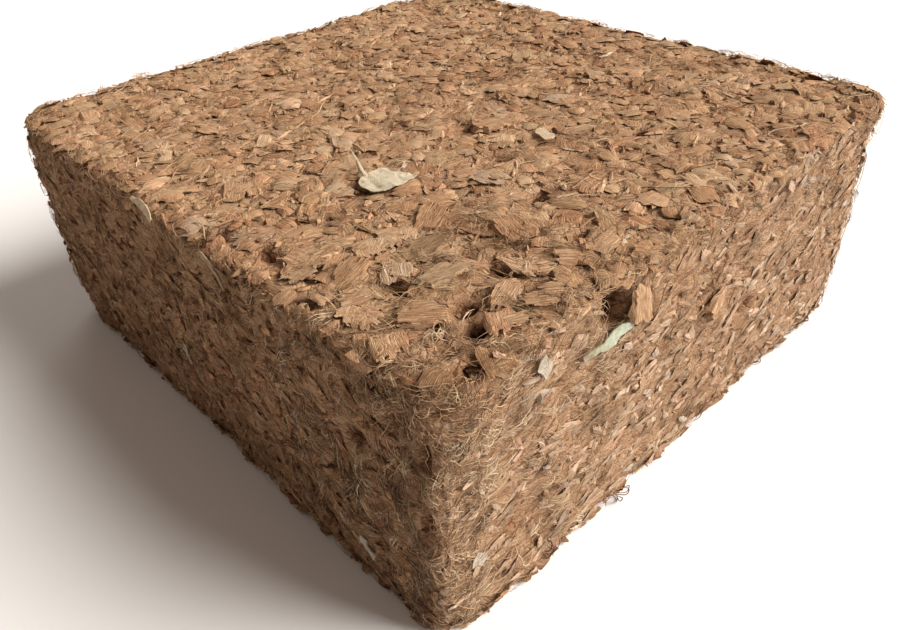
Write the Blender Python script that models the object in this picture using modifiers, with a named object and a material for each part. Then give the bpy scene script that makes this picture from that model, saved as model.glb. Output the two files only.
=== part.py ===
"""A bale of coconut coir: husk chips, pith and fibre pressed into one square block, with a
dry leaf, a few pale husk scraps and the loosest chips lying in its faces.

Metres, +Z up. The origin is in the middle of the underside. +X and +Y run along the two
sides of the block. Run it with blender --background --python part.py
"""

import math
import random

import bmesh
import bpy
from mathutils import Matrix, Vector

# The block, as it comes out of the press
SIZE_X = 0.300
SIZE_Y = 0.308
HEIGHT = 0.118
# Radii of the upright edges, at the (side of X, side of Y) that each one stands on
UPRIGHT_RADII = {(-1, -1): 0.020, (1, -1): 0.021, (1, 1): 0.018, (-1, 1): 0.011}
RIM_RADIUS = 0.005

# Chips that are part of the pressed mass: they stand out of the core by up to this much
RELIEF = 0.0034
CHIP_THICKNESS = 0.0060
FLAT_CHIP = (0.023, 0.016)
EDGE_CHIP = (0.026, 0.0095)
FLAT_PITCH = (0.0205, 0.0185)
EDGE_PITCH = (0.0225, 0.0125)
CHIP_TILT = math.radians(7)
CHIP_SIDES = (5, 6, 7)
# How much the ground flattens the chips of the underside, and the one in its middle
SQUASHED = 0.0007
MIDDLE_CHIP = (0.030, 0.022)

# The mesh of the pressed mass
VOXEL = 0.0018
KEPT_SHARE = 0.0265
SEED = 58

# Pieces lie in seats of their own, this far from the pressed mass
GAP = 0.0004
SEAT_LIFT = -0.0006
CUTTER_REACH = 0.012

# Directions across, up and out of each face, and the middle of the face
FACES = {
    "top": ((1, 0, 0), (0, 1, 0), (0, 0, 1)),
    "under": ((1, 0, 0), (0, -1, 0), (0, 0, -1)),
    "front": ((1, 0, 0), (0, 0, 1), (0, -1, 0)),
    "back": ((-1, 0, 0), (0, 0, 1), (0, 1, 0)),
    "right": ((0, 1, 0), (0, 0, 1), (1, 0, 0)),
    "left": ((0, -1, 0), (0, 0, 1), (-1, 0, 0)),
}
# The rounded rim between the left face and the top, seen from half way between them
SLANT = math.sqrt(0.5)
RIM_FACES = {"left rim": ((0, -1, 0), (SLANT, 0, SLANT), (-SLANT, 0, SLANT))}
RIM_LIFT = -RIM_RADIUS * (math.sqrt(2) - 1)

# Chips that could be picked off, as face, place across and up it from its middle, size,
# turn in degrees and how far they stand out
LOOSE_CHIPS = (
    ("top", (-0.0975, -0.0947), (0.0180, 0.0128), -15, 0.0018),
    ("top", (-0.1045, -0.1105), (0.0200, 0.0105), -8, 0.0013),
    ("top", (-0.1241, -0.1226), (0.0190, 0.0120), -42, 0.0018),
    ("top", (-0.0664, -0.1083), (0.0170, 0.0155), 78, 0.0014),
    ("top", (-0.0805, -0.0800), (0.0205, 0.0125), 30, 0.0016),
    ("top", (-0.1257, -0.0885), (0.0180, 0.0100), 20, 0.0014),
    ("top", (-0.0990, -0.1335), (0.0160, 0.0090), 24, 0.0012),
    ("top", (-0.0080, -0.0395), (0.0180, 0.0125), -20, 0.0017),
    ("top", (-0.0300, 0.0300), (0.0190, 0.0130), 15, 0.0015),
    ("top", (0.0710, 0.0120), (0.0180, 0.0120), 40, 0.0016),
    ("front", (-0.0540, 0.0415), (0.0215, 0.0125), -74, 0.0028),
    ("front", (0.0040, 0.0120), (0.0160, 0.0080), 38, 0.0018),
)

# Pale scraps of husk skin, in the same order of values
PALE_SCRAPS = {
    "cream_husk_strip": ("left rim", (-0.0090, -0.0655), (0.0200, 0.0052), -11, 0.0012),
    "tan_husk_strip": ("left", (0.0415, 0.0525), (0.0180, 0.0034), -31, 0.0012),
    "green_husk_scrap": ("front", (-0.0705, 0.0352), (0.0285, 0.0068), -3, 0.0012),
    "grey_husk_scrap": ("front", (-0.1040, 0.0450), (0.0090, 0.0060), -52, 0.0010),
    "white_husk_scrap": ("front", (-0.1340, -0.0200), (0.0080, 0.0060), -38, 0.0010),
    "white_husk_sliver": ("left", (0.1144, -0.0348), (0.0125, 0.0048), -60, 0.0012),
    "pale_side_scrap": ("left", (-0.0070, -0.0124), (0.0105, 0.0062), -70, 0.0010),
    "beige_top_scrap": ("top", (0.0010, -0.0640), (0.0120, 0.0060), 70, 0.0012),
}
LOOSE_THICKNESS = 0.0032
SCRAP_THICKNESS = 0.0016

# The dry leaf on top: its torn blade about its middle, in millimetres, and its stalk
LEAF_PLACE = (-0.0725, -0.0445)
LEAF_OUTLINE = (
    (12.4, -0.6), (8.4, 0.9), (5.6, 3.2), (6.6, 7.6), (3.6, 8.6), (-1.0, 8.0), (-5.6, 7.4),
    (-9.8, 5.4), (-11.4, 0.8), (-10.8, -4.4), (-6.6, -7.6), (-2.0, -8.4), (3.0, -8.0),
    (9.6, -5.8),
)
LEAF_THICKNESS = 0.0009
LEAF_STANDS_OUT = 0.0021
STALK_RADIUS = 0.0008
STALK_CLEARANCE = 0.0022
STALK_START = (-0.0058, 0.0058)
STALK_LENGTH = 0.032
STALK_RISE = 0.0022
STALK_SWAY = 0.0022
STALK_TURN = math.radians(63)

# Deep holes between chips: face, place across and up it, half sizes, turn in degrees
PITS = (
    ("front", (-0.0655, 0.0462), (0.0040, 0.0068, 0.0090), 12),
    ("top", (-0.112, -0.140), (0.0055, 0.0030, 0.0060), 20),
    ("top", (-0.086, -0.112), (0.0050, 0.0024, 0.0050), 65),
    ("top", (-0.040, -0.098), (0.0060, 0.0026, 0.0050), -35),
    ("top", (0.034, -0.128), (0.0065, 0.0028, 0.0055), -10),
    ("left", (0.020, -0.012), (0.0055, 0.0030, 0.0055), 40),
    ("front", (-0.005, 0.018), (0.0055, 0.0030, 0.0060), 55),
)


def collection(name):
    made = bpy.data.collections.new(name)
    bpy.context.scene.collection.children.link(made)
    return made


def husk_material(name, colour, roughness):
    made = bpy.data.materials.new(name)
    made.use_nodes = True
    shader = made.node_tree.nodes["Principled BSDF"]
    shader.inputs["Base Color"].default_value = (*colour, 1.0)
    shader.inputs["Roughness"].default_value = roughness
    shader.inputs["Metallic"].default_value = 0.0
    return made


def add_object(name, mesh, home, material=None):
    made = bpy.data.objects.new(name, mesh)
    home.objects.link(made)
    if material:
        mesh.materials.append(material)
    return made


def as_mesh(bm, name):
    mesh = bpy.data.meshes.new(name)
    bm.to_mesh(mesh)
    bm.free()
    return mesh


def face_size(face):
    """How far a face runs across and up."""
    extent = Vector((SIZE_X, SIZE_Y, HEIGHT))
    across, up, _ = FACES[face]
    return abs(extent.dot(Vector(across))), abs(extent.dot(Vector(up)))


def on_face(face, across, up, lift=0.0, turn=0.0, tilt=(0.0, 0.0)):
    """The matrix of a piece that lies in a face: its own Z points out of the block."""
    directions = [Vector(axis) for axis in {**FACES, **RIM_FACES}[face]]
    axes = Matrix(directions).transposed().to_4x4()
    out = directions[2]
    reach = SIZE_X / 2 * abs(out.x) + SIZE_Y / 2 * abs(out.y) + HEIGHT / 2 * abs(out.z)
    middle = Vector((0, 0, HEIGHT / 2)) + out * reach
    spin = Matrix.Rotation(turn, 4, "Z")
    lean = Matrix.Rotation(tilt[0], 4, "X") @ Matrix.Rotation(tilt[1], 4, "Y")
    return Matrix.Translation(middle) @ axes @ Matrix.Translation((across, up, lift)) @ spin @ lean


def ragged_ring(rng, length, width, sides):
    """The outline of a torn chip: a squarish oval whose corners wander in and out."""
    squareness = 3.0
    ring = []
    for corner in range(sides):
        angle = 2 * math.pi * (corner + rng.uniform(-0.28, 0.28)) / sides
        across, up = math.cos(angle), math.sin(angle)
        reach = (abs(across) ** squareness + abs(up) ** squareness) ** (-1 / squareness)
        reach *= rng.uniform(0.82, 1.05)
        ring.append((across * reach * length / 2, up * reach * width / 2))
    return ring


def grown(ring, by):
    """The ring moved outwards by a distance, away from its middle."""
    return [tuple(Vector(point) + Vector(point).normalized() * by) for point in ring]


def add_plate(bm, ring, low, high, place, taper=0.86):
    """A plate with the ring's outline between two heights, narrower at its outer face."""
    sides = len(ring)
    made = bmesh.ops.create_cone(
        bm, cap_ends=True, segments=sides, radius1=1.0, radius2=1.0, depth=2.0
    )["verts"]
    for vert in made:
        corner = round(math.atan2(vert.co.y, vert.co.x) / (2 * math.pi) * sides) % sides
        is_outer = vert.co.z > 0
        share = taper if is_outer else 1.0
        across, up = ring[corner]
        vert.co = Vector((across * share, up * share, high if is_outer else low))
    bmesh.ops.transform(bm, matrix=place, verts=made)


def add_core(bm):
    """The block inside the chips, with each upright edge rounded by its own radius."""
    inset = 2 * RELIEF
    size = Vector((SIZE_X - inset, SIZE_Y - inset, HEIGHT - inset))
    made = bmesh.ops.create_cube(bm, size=1.0)["verts"]
    bmesh.ops.scale(bm, vec=size, verts=made)
    bmesh.ops.translate(bm, vec=(0, 0, HEIGHT / 2), verts=made)
    for side, radius in UPRIGHT_RADII.items():
        upright = [
            edge
            for edge in bm.edges
            if all(v.co.x * side[0] > 0 and v.co.y * side[1] > 0 for v in edge.verts)
            and abs(edge.verts[0].co.z - edge.verts[1].co.z) > HEIGHT / 2
        ]
        bmesh.ops.bevel(bm, geom=upright, offset=radius, segments=4, profile=0.5, affect="EDGES")
    rims = [
        edge
        for edge in bm.edges
        if len(edge.link_faces) == 2
        and abs(abs(edge.link_faces[0].normal.z) - abs(edge.link_faces[1].normal.z)) > 0.9
    ]
    bmesh.ops.bevel(bm, geom=rims, offset=RIM_RADIUS, segments=2, profile=0.5, affect="EDGES")


def add_pressed_chips(bm, rng):
    """Chips laid all over the six faces. On the sides they show their edges, lying level."""
    for face in FACES:
        is_flat = face in ("top", "under")
        length, width = FLAT_CHIP if is_flat else EDGE_CHIP
        pitch = FLAT_PITCH if is_flat else EDGE_PITCH
        run, rise = face_size(face)
        columns, rows = round(run / pitch[0]), round(rise / pitch[1])
        for column in range(columns):
            for row in range(rows):
                across = ((column + 0.5 + rng.uniform(-0.4, 0.4)) / columns - 0.5) * (run - width)
                up = ((row + 0.5 + rng.uniform(-0.4, 0.4)) / rows - 0.5) * (rise - width)
                if is_over_rounded_corner(face, across, up):
                    continue
                turn = rng.uniform(0, math.tau) if is_flat else rng.gauss(0, 0.30)
                tilt = (rng.gauss(0, CHIP_TILT / 2), rng.gauss(0, CHIP_TILT / 2))
                lift = -rng.uniform(0.0, RELIEF * 0.85)
                if face == "under":
                    lift += SQUASHED
                scale = rng.uniform(0.70, 1.15)
                ring = ragged_ring(rng, length * scale, width * scale, rng.choice(CHIP_SIDES))
                place = on_face(face, across, up, lift, turn, tilt)
                add_plate(bm, ring, -CHIP_THICKNESS, 0.0, place)


def add_middle_chip(bm, rng):
    """The chip in the middle of the underside lies flat on the ground."""
    ring = ragged_ring(rng, *MIDDLE_CHIP, max(CHIP_SIDES))
    add_plate(bm, ring, -CHIP_THICKNESS, 0.0, on_face("under", 0.0, 0.0, SQUASHED))


def is_over_rounded_corner(face, across, up):
    """Whether a chip centred here would hang out over one of the rounded upright edges."""
    point = on_face(face, across, up).translation
    for side, radius in UPRIGHT_RADII.items():
        centre = Vector((side[0] * (SIZE_X / 2 - radius), side[1] * (SIZE_Y / 2 - radius)))
        out = Vector((point.x, point.y)) - centre
        if out.x * side[0] > 0 and out.y * side[1] > 0 and out.length > radius:
            return True
    return False


def add_corner_chips(bm, rng):
    """Short slivers that wrap the rounded upright edges, stacked from the ground up."""
    length, width = 0.015, 0.0075
    for side, radius in UPRIGHT_RADII.items():
        centre = Vector((side[0] * (SIZE_X / 2 - radius), side[1] * (SIZE_Y / 2 - radius), 0))
        rows = round(HEIGHT / 0.0105)
        for row in range(rows):
            for share in (0.18, 0.5, 0.82):
                base = math.atan2(side[1], side[0]) + (share - 0.5) * math.pi / 2
                angle = base + rng.uniform(-0.12, 0.12)
                out = Vector((math.cos(angle), math.sin(angle), 0))
                height = HEIGHT * (row + 0.5 + rng.uniform(-0.3, 0.3)) / rows
                middle = centre + out * (radius - rng.uniform(0.0, RELIEF)) + Vector((0, 0, height))
                level = Vector((0, 0, 1)).cross(out)
                axes = Matrix([level, Vector((0, 0, 1)), out]).transposed().to_4x4()
                spin = Matrix.Rotation(rng.gauss(0, 0.35), 4, "Z")
                ring = ragged_ring(rng, length, width, rng.choice(CHIP_SIDES))
                add_plate(bm, ring, -CHIP_THICKNESS, 0.0, Matrix.Translation(middle) @ axes @ spin)


def add_seat(bm, place, ring, depth):
    """A level patch of pressed pith for a loose piece to lie in, a little proud of the core."""
    patch = grown(ring, 0.0035)
    add_plate(bm, patch, -depth - 0.004, SEAT_LIFT, place, taper=0.92)


def pit_cutter(bm, face, middle, half_sizes, turn):
    """A rough hole: a coarse ball, squeezed to the hole's half sizes and sunk in the face."""
    place = on_face(face, *middle, lift=0.0005, turn=math.radians(turn))
    made = bmesh.ops.create_icosphere(bm, subdivisions=1, radius=1.0)["verts"]
    bmesh.ops.scale(bm, vec=half_sizes, verts=made)
    bmesh.ops.transform(bm, matrix=place, verts=made)


def loose_piece(name, home, cutters, material, rng, spec, thickness):
    """One chip or scrap, its cutter, and what its seat needs: (place, ring, depth of its back)."""
    face, (across, up), (length, width), turn, stands_out = spec
    ring = ragged_ring(rng, length, width, 9)
    lift = RIM_LIFT if face in RIM_FACES else 0.0
    place = on_face(face, across, up, lift, math.radians(turn))
    back = stands_out - thickness
    bm = bmesh.new()
    add_plate(bm, ring, back, stands_out, place, taper=0.88)
    add_object(name, as_mesh(bm, name), home, material)
    bm = bmesh.new()
    add_plate(bm, grown(ring, GAP), back - GAP, CUTTER_REACH, place, taper=1.0)
    add_object(name + "_seat", as_mesh(bm, name + "_seat"), cutters)
    return place, ring, -back


def stalk_mesh(name, route, radius):
    """A thin round rod along the points of the route, closed at both ends."""
    curve = bpy.data.curves.new(name, "CURVE")
    curve.dimensions = "3D"
    line = curve.splines.new("POLY")
    line.points.add(len(route) - 1)
    for point, spot in zip(line.points, route):
        point.co = (*spot, 1.0)
    curve.bevel_depth = radius
    curve.bevel_resolution = 1
    curve.use_fill_caps = True
    holder = bpy.data.objects.new(name, curve)
    bpy.context.scene.collection.objects.link(holder)
    graph = bpy.context.evaluated_depsgraph_get()
    drawn = bpy.data.meshes.new_from_object(holder.evaluated_get(graph))
    bpy.data.objects.remove(holder)
    bm = bmesh.new()
    bm.from_mesh(drawn)
    bmesh.ops.remove_doubles(bm, verts=bm.verts, dist=0.00001)
    return as_mesh(bm, name)


def dry_leaf(home, cutters, material):
    """The blade with its stalk joined on, and the seat that the blade lies in."""
    place = on_face("top", *LEAF_PLACE)
    back = LEAF_STANDS_OUT - LEAF_THICKNESS
    ring = [(across / 1000, up / 1000) for across, up in LEAF_OUTLINE]
    bm = bmesh.new()
    add_plate(bm, ring, back, LEAF_STANDS_OUT, place, taper=0.97)
    blade = add_object("dry_leaf", as_mesh(bm, "dry_leaf"), home, material)

    root = place @ Vector((*STALK_START, back + LEAF_THICKNESS / 2))
    away = Vector((math.cos(STALK_TURN), math.sin(STALK_TURN), 0))
    aside = Vector((-away.y, away.x, 0))
    route = []
    for step in range(7):
        share = step / 6
        rise = STALK_RISE * math.sin(share * math.pi * 0.75)
        sway = STALK_SWAY * math.sin(share * math.pi)
        route.append(root + away * STALK_LENGTH * share + aside * sway + Vector((0, 0, rise)))
    stalk = add_object("stalk", stalk_mesh("stalk", route, STALK_RADIUS), cutters)
    join = blade.modifiers.new("stalk", "BOOLEAN")
    join.operation = "UNION"
    join.object = stalk
    add_object("stalk_seat", stalk_mesh("stalk_seat", route, STALK_CLEARANCE), cutters)

    bm = bmesh.new()
    add_plate(bm, grown(ring, GAP), back - GAP, CUTTER_REACH, place, taper=1.0)
    add_object("dry_leaf_seat", as_mesh(bm, "dry_leaf_seat"), cutters)
    return place, ring, -back


def hide_cutter(obj):
    obj.hide_render = True
    obj.display_type = "WIRE"


def pressed_bale(home, cutters, material, rng, seats):
    """The pressed mass. Core, chips and seats are fused, roughened, thinned to facets, then
    cut where the pieces lie, where the deep holes are, and level where it stands."""
    bm = bmesh.new()
    add_core(bm)
    add_pressed_chips(bm, rng)
    add_corner_chips(bm, rng)
    add_middle_chip(bm, rng)
    for place, ring, depth in seats:
        add_seat(bm, place, ring, depth)
    bale = add_object("pressed_bale", as_mesh(bm, "pressed_bale"), home, material)

    fuse = bale.modifiers.new("fuse chips", "REMESH")
    fuse.mode = "VOXEL"
    fuse.voxel_size = VOXEL
    thin = bale.modifiers.new("facets", "DECIMATE")
    thin.ratio = KEPT_SHARE
    thin.use_collapse_triangulate = True

    bm = bmesh.new()
    for pit in PITS:
        pit_cutter(bm, *pit)
    pits = add_object("pits", as_mesh(bm, "pits"), cutters)
    bm = bmesh.new()
    slab = bmesh.ops.create_cube(bm, size=1.0)["verts"]
    bmesh.ops.scale(bm, vec=(SIZE_X * 1.5, SIZE_Y * 1.5, 0.02), verts=slab)
    bmesh.ops.translate(bm, vec=(0, 0, -0.01), verts=slab)
    ground = add_object("ground", as_mesh(bm, "ground"), cutters)
    seat_cutters = [obj for obj in cutters.objects if obj.name.endswith("_seat")]
    for cutter in [pits, ground, *seat_cutters]:
        cut = bale.modifiers.new("cut " + cutter.name, "BOOLEAN")
        cut.operation = "DIFFERENCE"
        cut.object = cutter
    return bale


def main():
    for obj in list(bpy.data.objects):
        bpy.data.objects.remove(obj)
    home = collection("coconut coir bale")
    cutters = collection("cutters")
    rng = random.Random(SEED)

    husk = husk_material("pressed_husk", (0.42, 0.25, 0.13), 0.9)
    chip = husk_material("husk_chip", (0.47, 0.28, 0.15), 0.85)
    cream = husk_material("cream_husk", (0.62, 0.52, 0.36), 0.8)
    green = husk_material("green_husk", (0.48, 0.56, 0.42), 0.8)
    leaf = husk_material("dry_leaf", (0.66, 0.58, 0.40), 0.75)

    seats = []
    for number, spec in enumerate(LOOSE_CHIPS, start=1):
        name = f"husk_chip_{number:02d}"
        seats.append(loose_piece(name, home, cutters, chip, rng, spec, LOOSE_THICKNESS))
    for name, spec in PALE_SCRAPS.items():
        finish = green if name.startswith("green") else cream
        seats.append(loose_piece(name, home, cutters, finish, rng, spec, SCRAP_THICKNESS))
    seats.append(dry_leaf(home, cutters, leaf))

    pressed_bale(home, cutters, husk, rng, seats)
    for obj in cutters.objects:
        hide_cutter(obj)


main()
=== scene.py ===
"""The looks of a pressed bale of coconut coir, from the inside out: the pressed pith, the husk
chips and slivers in its skin, the crumbs and fibres between them, and what lies loose on it.
"""

import math

import bmesh
import bpy
import numpy as np
from mathutils import Matrix, Vector
from mathutils.bvhtree import BVHTree


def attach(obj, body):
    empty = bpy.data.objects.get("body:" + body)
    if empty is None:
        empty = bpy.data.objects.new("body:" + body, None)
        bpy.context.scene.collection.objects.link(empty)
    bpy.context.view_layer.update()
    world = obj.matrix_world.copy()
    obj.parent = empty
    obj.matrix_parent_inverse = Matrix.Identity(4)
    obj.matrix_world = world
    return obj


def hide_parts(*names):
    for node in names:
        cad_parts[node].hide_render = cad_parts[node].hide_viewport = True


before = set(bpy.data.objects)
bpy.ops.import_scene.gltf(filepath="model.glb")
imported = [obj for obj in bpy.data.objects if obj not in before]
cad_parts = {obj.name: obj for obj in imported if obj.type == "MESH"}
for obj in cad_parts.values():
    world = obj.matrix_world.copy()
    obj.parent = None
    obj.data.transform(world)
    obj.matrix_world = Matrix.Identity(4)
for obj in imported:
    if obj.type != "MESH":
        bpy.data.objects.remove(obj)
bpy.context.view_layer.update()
bpy.ops.object.select_all(action="DESELECT")

# ---- Pressed pith
# The block itself: pith, a brown crumb like coarse peat, with broken chips and fibre in it. It
# was wetted, pressed in a square mould and dried, so it has the mould's flat faces and round
# upright edges. It shows only in the gaps between the chips.
BALE = Vector((0.300, 0.308, 0.118))
# Upright edges, by side: radius half way up, and at the worn corners above and below
UPRIGHT_EDGES = {
    (-1, -1): (0.0045, 0.0215),
    (1, -1): (0.0200, 0.0230),
    (1, 1): (0.0170, 0.0190),
    (-1, 1): (0.0090, 0.0240),
}
# How far from the top and the foot those corners are worn, and the radius of the rims
WORN_REACH = 0.034
RIM_RADIUS = 0.0038
# Waves a few centimetres long in which the skin swells and sinks: way in radians a metre, start
SKIN_WAVES = (
    ((140, 60, 90), 0.3), ((-70, 170, 40), 2.1), ((95, -120, 150), 4.0), ((30, 210, -110), 5.2),
    ((230, 40, 60), 1.1),
)
WAVE_HEIGHT = 0.00036
# How deep the pith lies below the skin, and the side of the squares in its mesh
PITH_DEPTH = 0.0015
PITH_GRAIN = 0.0026
# The bumps of the pith: their size and height
PITH_BUMPS = (("hollows", 0.022, 0.0030), ("lumps", 0.008, 0.0020), ("crumbs", 0.0032, 0.0012))
# The lowest that the pith may lie
PITH_GROUND = 0.0012
# How far below the skin the pith starts to be painted darker, as painted shade in its hollows, and
# over what depth
PAINTED_SHADE_FROM = 0.0021
PAINTED_SHADE_DEPTH = 0.0048
# How far in and out of the face's plane a hole reaches, and how steep its walls are
HOLE_REACH = 0.012
HOLE_STEEPNESS = 1.6
# How far outside the skin the search for the pith starts, and how far it goes
SEARCH_START = 0.012
SEARCH_LENGTH = 0.03
# How far a chip follows the lean of the pith under it
FOLLOWED_LEAN = 0.20
# The square of the bale that each sixth of the picture map shows
PICTURE_SIDE = 0.33

# Directions across, up and out of each face
FACES = {
    "top": ((1, 0, 0), (0, 1, 0), (0, 0, 1)),
    "under": ((1, 0, 0), (0, -1, 0), (0, 0, -1)),
    "front": ((1, 0, 0), (0, 0, 1), (0, -1, 0)),
    "back": ((-1, 0, 0), (0, 0, 1), (0, 1, 0)),
    "right": ((0, 1, 0), (0, 0, 1), (1, 0, 0)),
    "left": ((0, -1, 0), (0, 0, 1), (-1, 0, 0)),
}
# The rim between the left face and the top, seen from half way between them
SLANT = math.sqrt(0.5)
RIM_FACES = {"left rim": ((0, -1, 0), (SLANT, 0, SLANT), (-SLANT, 0, SLANT))}

# The dark hole beside the large tan chip, and smaller ones, in millimetres: face, place across
# and up from the face's middle, half the width and height, and depth
HOLES_IN_MM = (
    ("front", -65.5, 46.2, 4.8, 8, 13), ("top", -112, -137.5, 7.5, 3.4, 7.5),
    ("top", -118, -104, 3, 5.5, 6), ("top", -110, -127.5, 6, 2.8, 7),
    ("top", -132, -149, 6.5, 3, 7.5), ("top", -129, -138.5, 4, 2.6, 6),
    ("top", -88.5, -136.5, 4.5, 2.8, 6.5), ("top", -87.7, -105, 2.8, 4.2, 5.5),
    ("top", -144.5, -88.3, 3, 5.5, 5.5), ("top", -139.9, -30, 2.6, 5, 5),
    ("top", -101.7, 47.1, 4.5, 2.6, 4.5), ("top", -86, -118, 4, 6.5, 7),
    ("top", -52, -126, 6, 2.8, 5.5), ("top", -40, -96, 6.2, 2.6, 5.5),
    ("top", -25, -62, 3, 5, 4.5), ("top", -135, -55, 2.8, 6, 5),
    ("top", 35, -90, 6, 3, 4.5), ("left", 20, -12, 5.5, 3, 5.5),
    ("left", 112, 18, 5, 3.5, 6), ("left", 134, -6, 3.5, 6, 6),
    ("left", 135.2, 37.8, 4.5, 3, 6.5), ("left", 144, 16.1, 3, 4.5, 6),
    ("left", 114.4, 40, 5, 2.6, 6), ("left", 87.2, 33, 4.5, 2.8, 5.5),
    ("left", 121, -28.7, 4, 2.6, 5), ("left", 95.8, -9.3, 4.5, 2.6, 5),
    ("left", 146.2, 33.5, 3.4, 6, 6), ("left", 147.8, 4, 3, 7, 5.5),
    ("left", 141.2, -18, 3.2, 5, 5), ("top", -138.5, -134.5, 1.7, 4, 6),
    ("top", -143, -144, 4, 1.6, 6.5), ("front", -142.5, 48, 3.6, 1.6, 6),
    ("front", -129, 53.5, 5.5, 1.4, 5.5), ("front", -5, 18, 7.5, 2.2, 5.5),
    ("front", -95, 28, 7.5, 2, 5), ("front", 35, -5, 8, 2, 5),
    ("front", -113, -20, 6, 2, 5), ("right", 40, 10, 8, 1.2, 3.6),
    ("right", -70, -15, 9, 1.2, 3.4), ("back", 30, 5, 9, 1.3, 3.6),
    ("back", -80, 20, 8, 1.2, 3.4),
)
HOLES = [(face, *(size / 1000 for size in sizes)) for face, *sizes in HOLES_IN_MM]


def swell_of(points):
    """How far the skin swells out at each point."""
    return WAVE_HEIGHT * sum(np.sin(points @ np.array(way) + start) for way, start in SKIN_WAVES)


def length_one(ways):
    """The same directions, each of length 1."""
    return ways / np.maximum(np.linalg.norm(ways, axis=-1, keepdims=True), 1e-12)


def skin(points):
    """How far points lie outside the smooth skin of the bale, and the way out from each."""
    half = np.array(BALE) / 2
    x, y = points[:, 0], points[:, 1]
    side = np.where(points[:, :2] < 0, -1.0, 1.0)
    worn = np.clip((abs(points[:, 2] - half[2]) - half[2] + WORN_REACH) / WORN_REACH, 0, 1) ** 2
    radius = np.zeros(len(points))
    for (sx, sy), (middle, ends) in UPRIGHT_EDGES.items():
        here = (side[:, 0] == sx) & (side[:, 1] == sy)
        radius[here] = (middle + (ends - middle) * worn)[here]
    q = np.stack([abs(x) - half[0] + radius, abs(y) - half[1] + radius], 1)
    corner = np.maximum(q, 0)
    reach = np.linalg.norm(corner, axis=1)
    way = np.where(reach[:, None] > 0, length_one(corner), np.eye(2)[q.argmax(1)]) * side
    outline = reach + np.minimum(q.max(1), 0) - radius
    rise = np.where(points[:, 2] < half[2], -1.0, 1.0)
    w = np.stack([outline, abs(points[:, 2] - half[2]) - half[2]], 1) + RIM_RADIUS
    rim = np.maximum(w, 0)
    reach = np.linalg.norm(rim, axis=1)
    share = np.where(reach[:, None] > 0, length_one(rim), np.eye(2)[w.argmax(1)])
    out = np.column_stack([way * share[:, :1], rise * share[:, 1]])
    return reach + np.minimum(w.max(1), 0) - RIM_RADIUS - swell_of(points), out


def onto_skin(points, lift=0.0):
    """The points moved to lie a lift outside the skin, and the way out from each."""
    for _ in range(3):
        gap, out = skin(points)
        points = points + out * (lift - gap)[:, None]
    return points, out


def face_axes(face):
    return [np.array(axis, float) for axis in {**FACES, **RIM_FACES}[face]]


def face_point(face, across, up):
    """The place on a face's own plane, across and up from its middle."""
    a, u, o = face_axes(face)
    half = np.array(BALE) / 2
    return np.array((0, 0, half[2])) + a * across + u * up + o * (half @ abs(o))


def from_hole(points, face, across, up, half_across, half_up, grown=0.0):
    """How far points lie from a hole's middle, 1 on its rim, and how far out of its face."""
    a, u, o = face_axes(face)
    away = points - face_point(face, across, up)
    reach = ((away @ a) / (half_across + grown)) ** 2 + ((away @ u) / (half_up + grown)) ** 2
    return reach, away @ o


def pick(obj, wanted):
    """Selects, in edit mode, the corners of obj whose place and normal are wanted."""
    bpy.ops.mesh.select_mode(type="VERT")
    bpy.ops.mesh.select_all(action="DESELECT")
    mesh = bmesh.from_edit_mesh(obj.data)
    for vert in mesh.verts:
        vert.select = bool(wanted(vert.co, vert.normal))
    mesh.select_flush(True)
    bmesh.update_edit_mesh(obj.data)


def apply_all(obj):
    bpy.context.view_layer.objects.active = obj
    for modifier in list(obj.modifiers):
        bpy.ops.object.modifier_apply(modifier=modifier.name)


def numbers_of(items, title, width=1, kind=np.float32):
    """One property of all a mesh's corners, faces or loops."""
    found = np.empty(len(items) * width, kind)
    items.foreach_get(title, found)
    return found.reshape(-1, width) if width > 1 else found


def corner_numbers(mesh):
    """For each polygon's corners: the vertex, and the polygon it belongs to."""
    total = numbers_of(mesh.polygons, "loop_total", kind=np.int32)
    vertex = numbers_of(mesh.loops, "vertex_index", kind=np.int32)
    return vertex, np.repeat(np.arange(len(total)), total), total


def places_of(mesh):
    return numbers_of(mesh.vertices, "co", 3).astype(float)


def give_map(mesh, title, spots):
    layer = mesh.uv_layers.new(name=title)
    layer.uv.foreach_set("vector", spots.astype(np.float32).ravel())


def give_numbers(mesh, title, values):
    """Gives each corner of the mesh a number that its material reads."""
    layer = mesh.attributes.new(title, "FLOAT", "POINT")
    layer.data.foreach_set("value", values.astype(np.float32))


def lay_out_by_face(mesh):
    """A map for the export's pictures: each side of the bale in a sixth of the image."""
    vertex, face, _ = corner_numbers(mesh)
    _, out = skin(numbers_of(mesh.polygons, "center", 3).astype(float))
    axes = np.array([FACES[name] for name in FACES], float)
    seen = (out @ axes[:, 2].T).argmax(1)[face]
    co = places_of(mesh)[vertex] - np.array((0, 0, BALE.z / 2))
    across, up = ((co * axes[seen, k]).sum(1) / PICTURE_SIDE + 0.5 for k in (0, 1))
    give_map(mesh, "OFBake", np.stack([(seen % 3 + across) / 3, (seen // 3 + up) / 2], 1))


def node_of(material, kind, links=None, **values):
    """Adds a shader node, sets its named inputs and links sockets into it."""
    made = material.node_tree.nodes.new(kind)
    for name, value in values.items():
        setattr(made, name, value)
    for name, source in (links or {}).items():
        if isinstance(source, bpy.types.NodeSocket):
            material.node_tree.links.new(source, made.inputs[name])
        else:
            made.inputs[name].default_value = source
    return made


def maths(material, operation, *inputs):
    """A number worked out from sockets and numbers."""
    links = dict(enumerate(inputs))
    return node_of(material, "ShaderNodeMath", links, operation=operation).outputs[0]


def vector_maths(material, operation, *inputs):
    links = dict(enumerate(inputs))
    return node_of(material, "ShaderNodeVectorMath", links, operation=operation).outputs[0]


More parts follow.
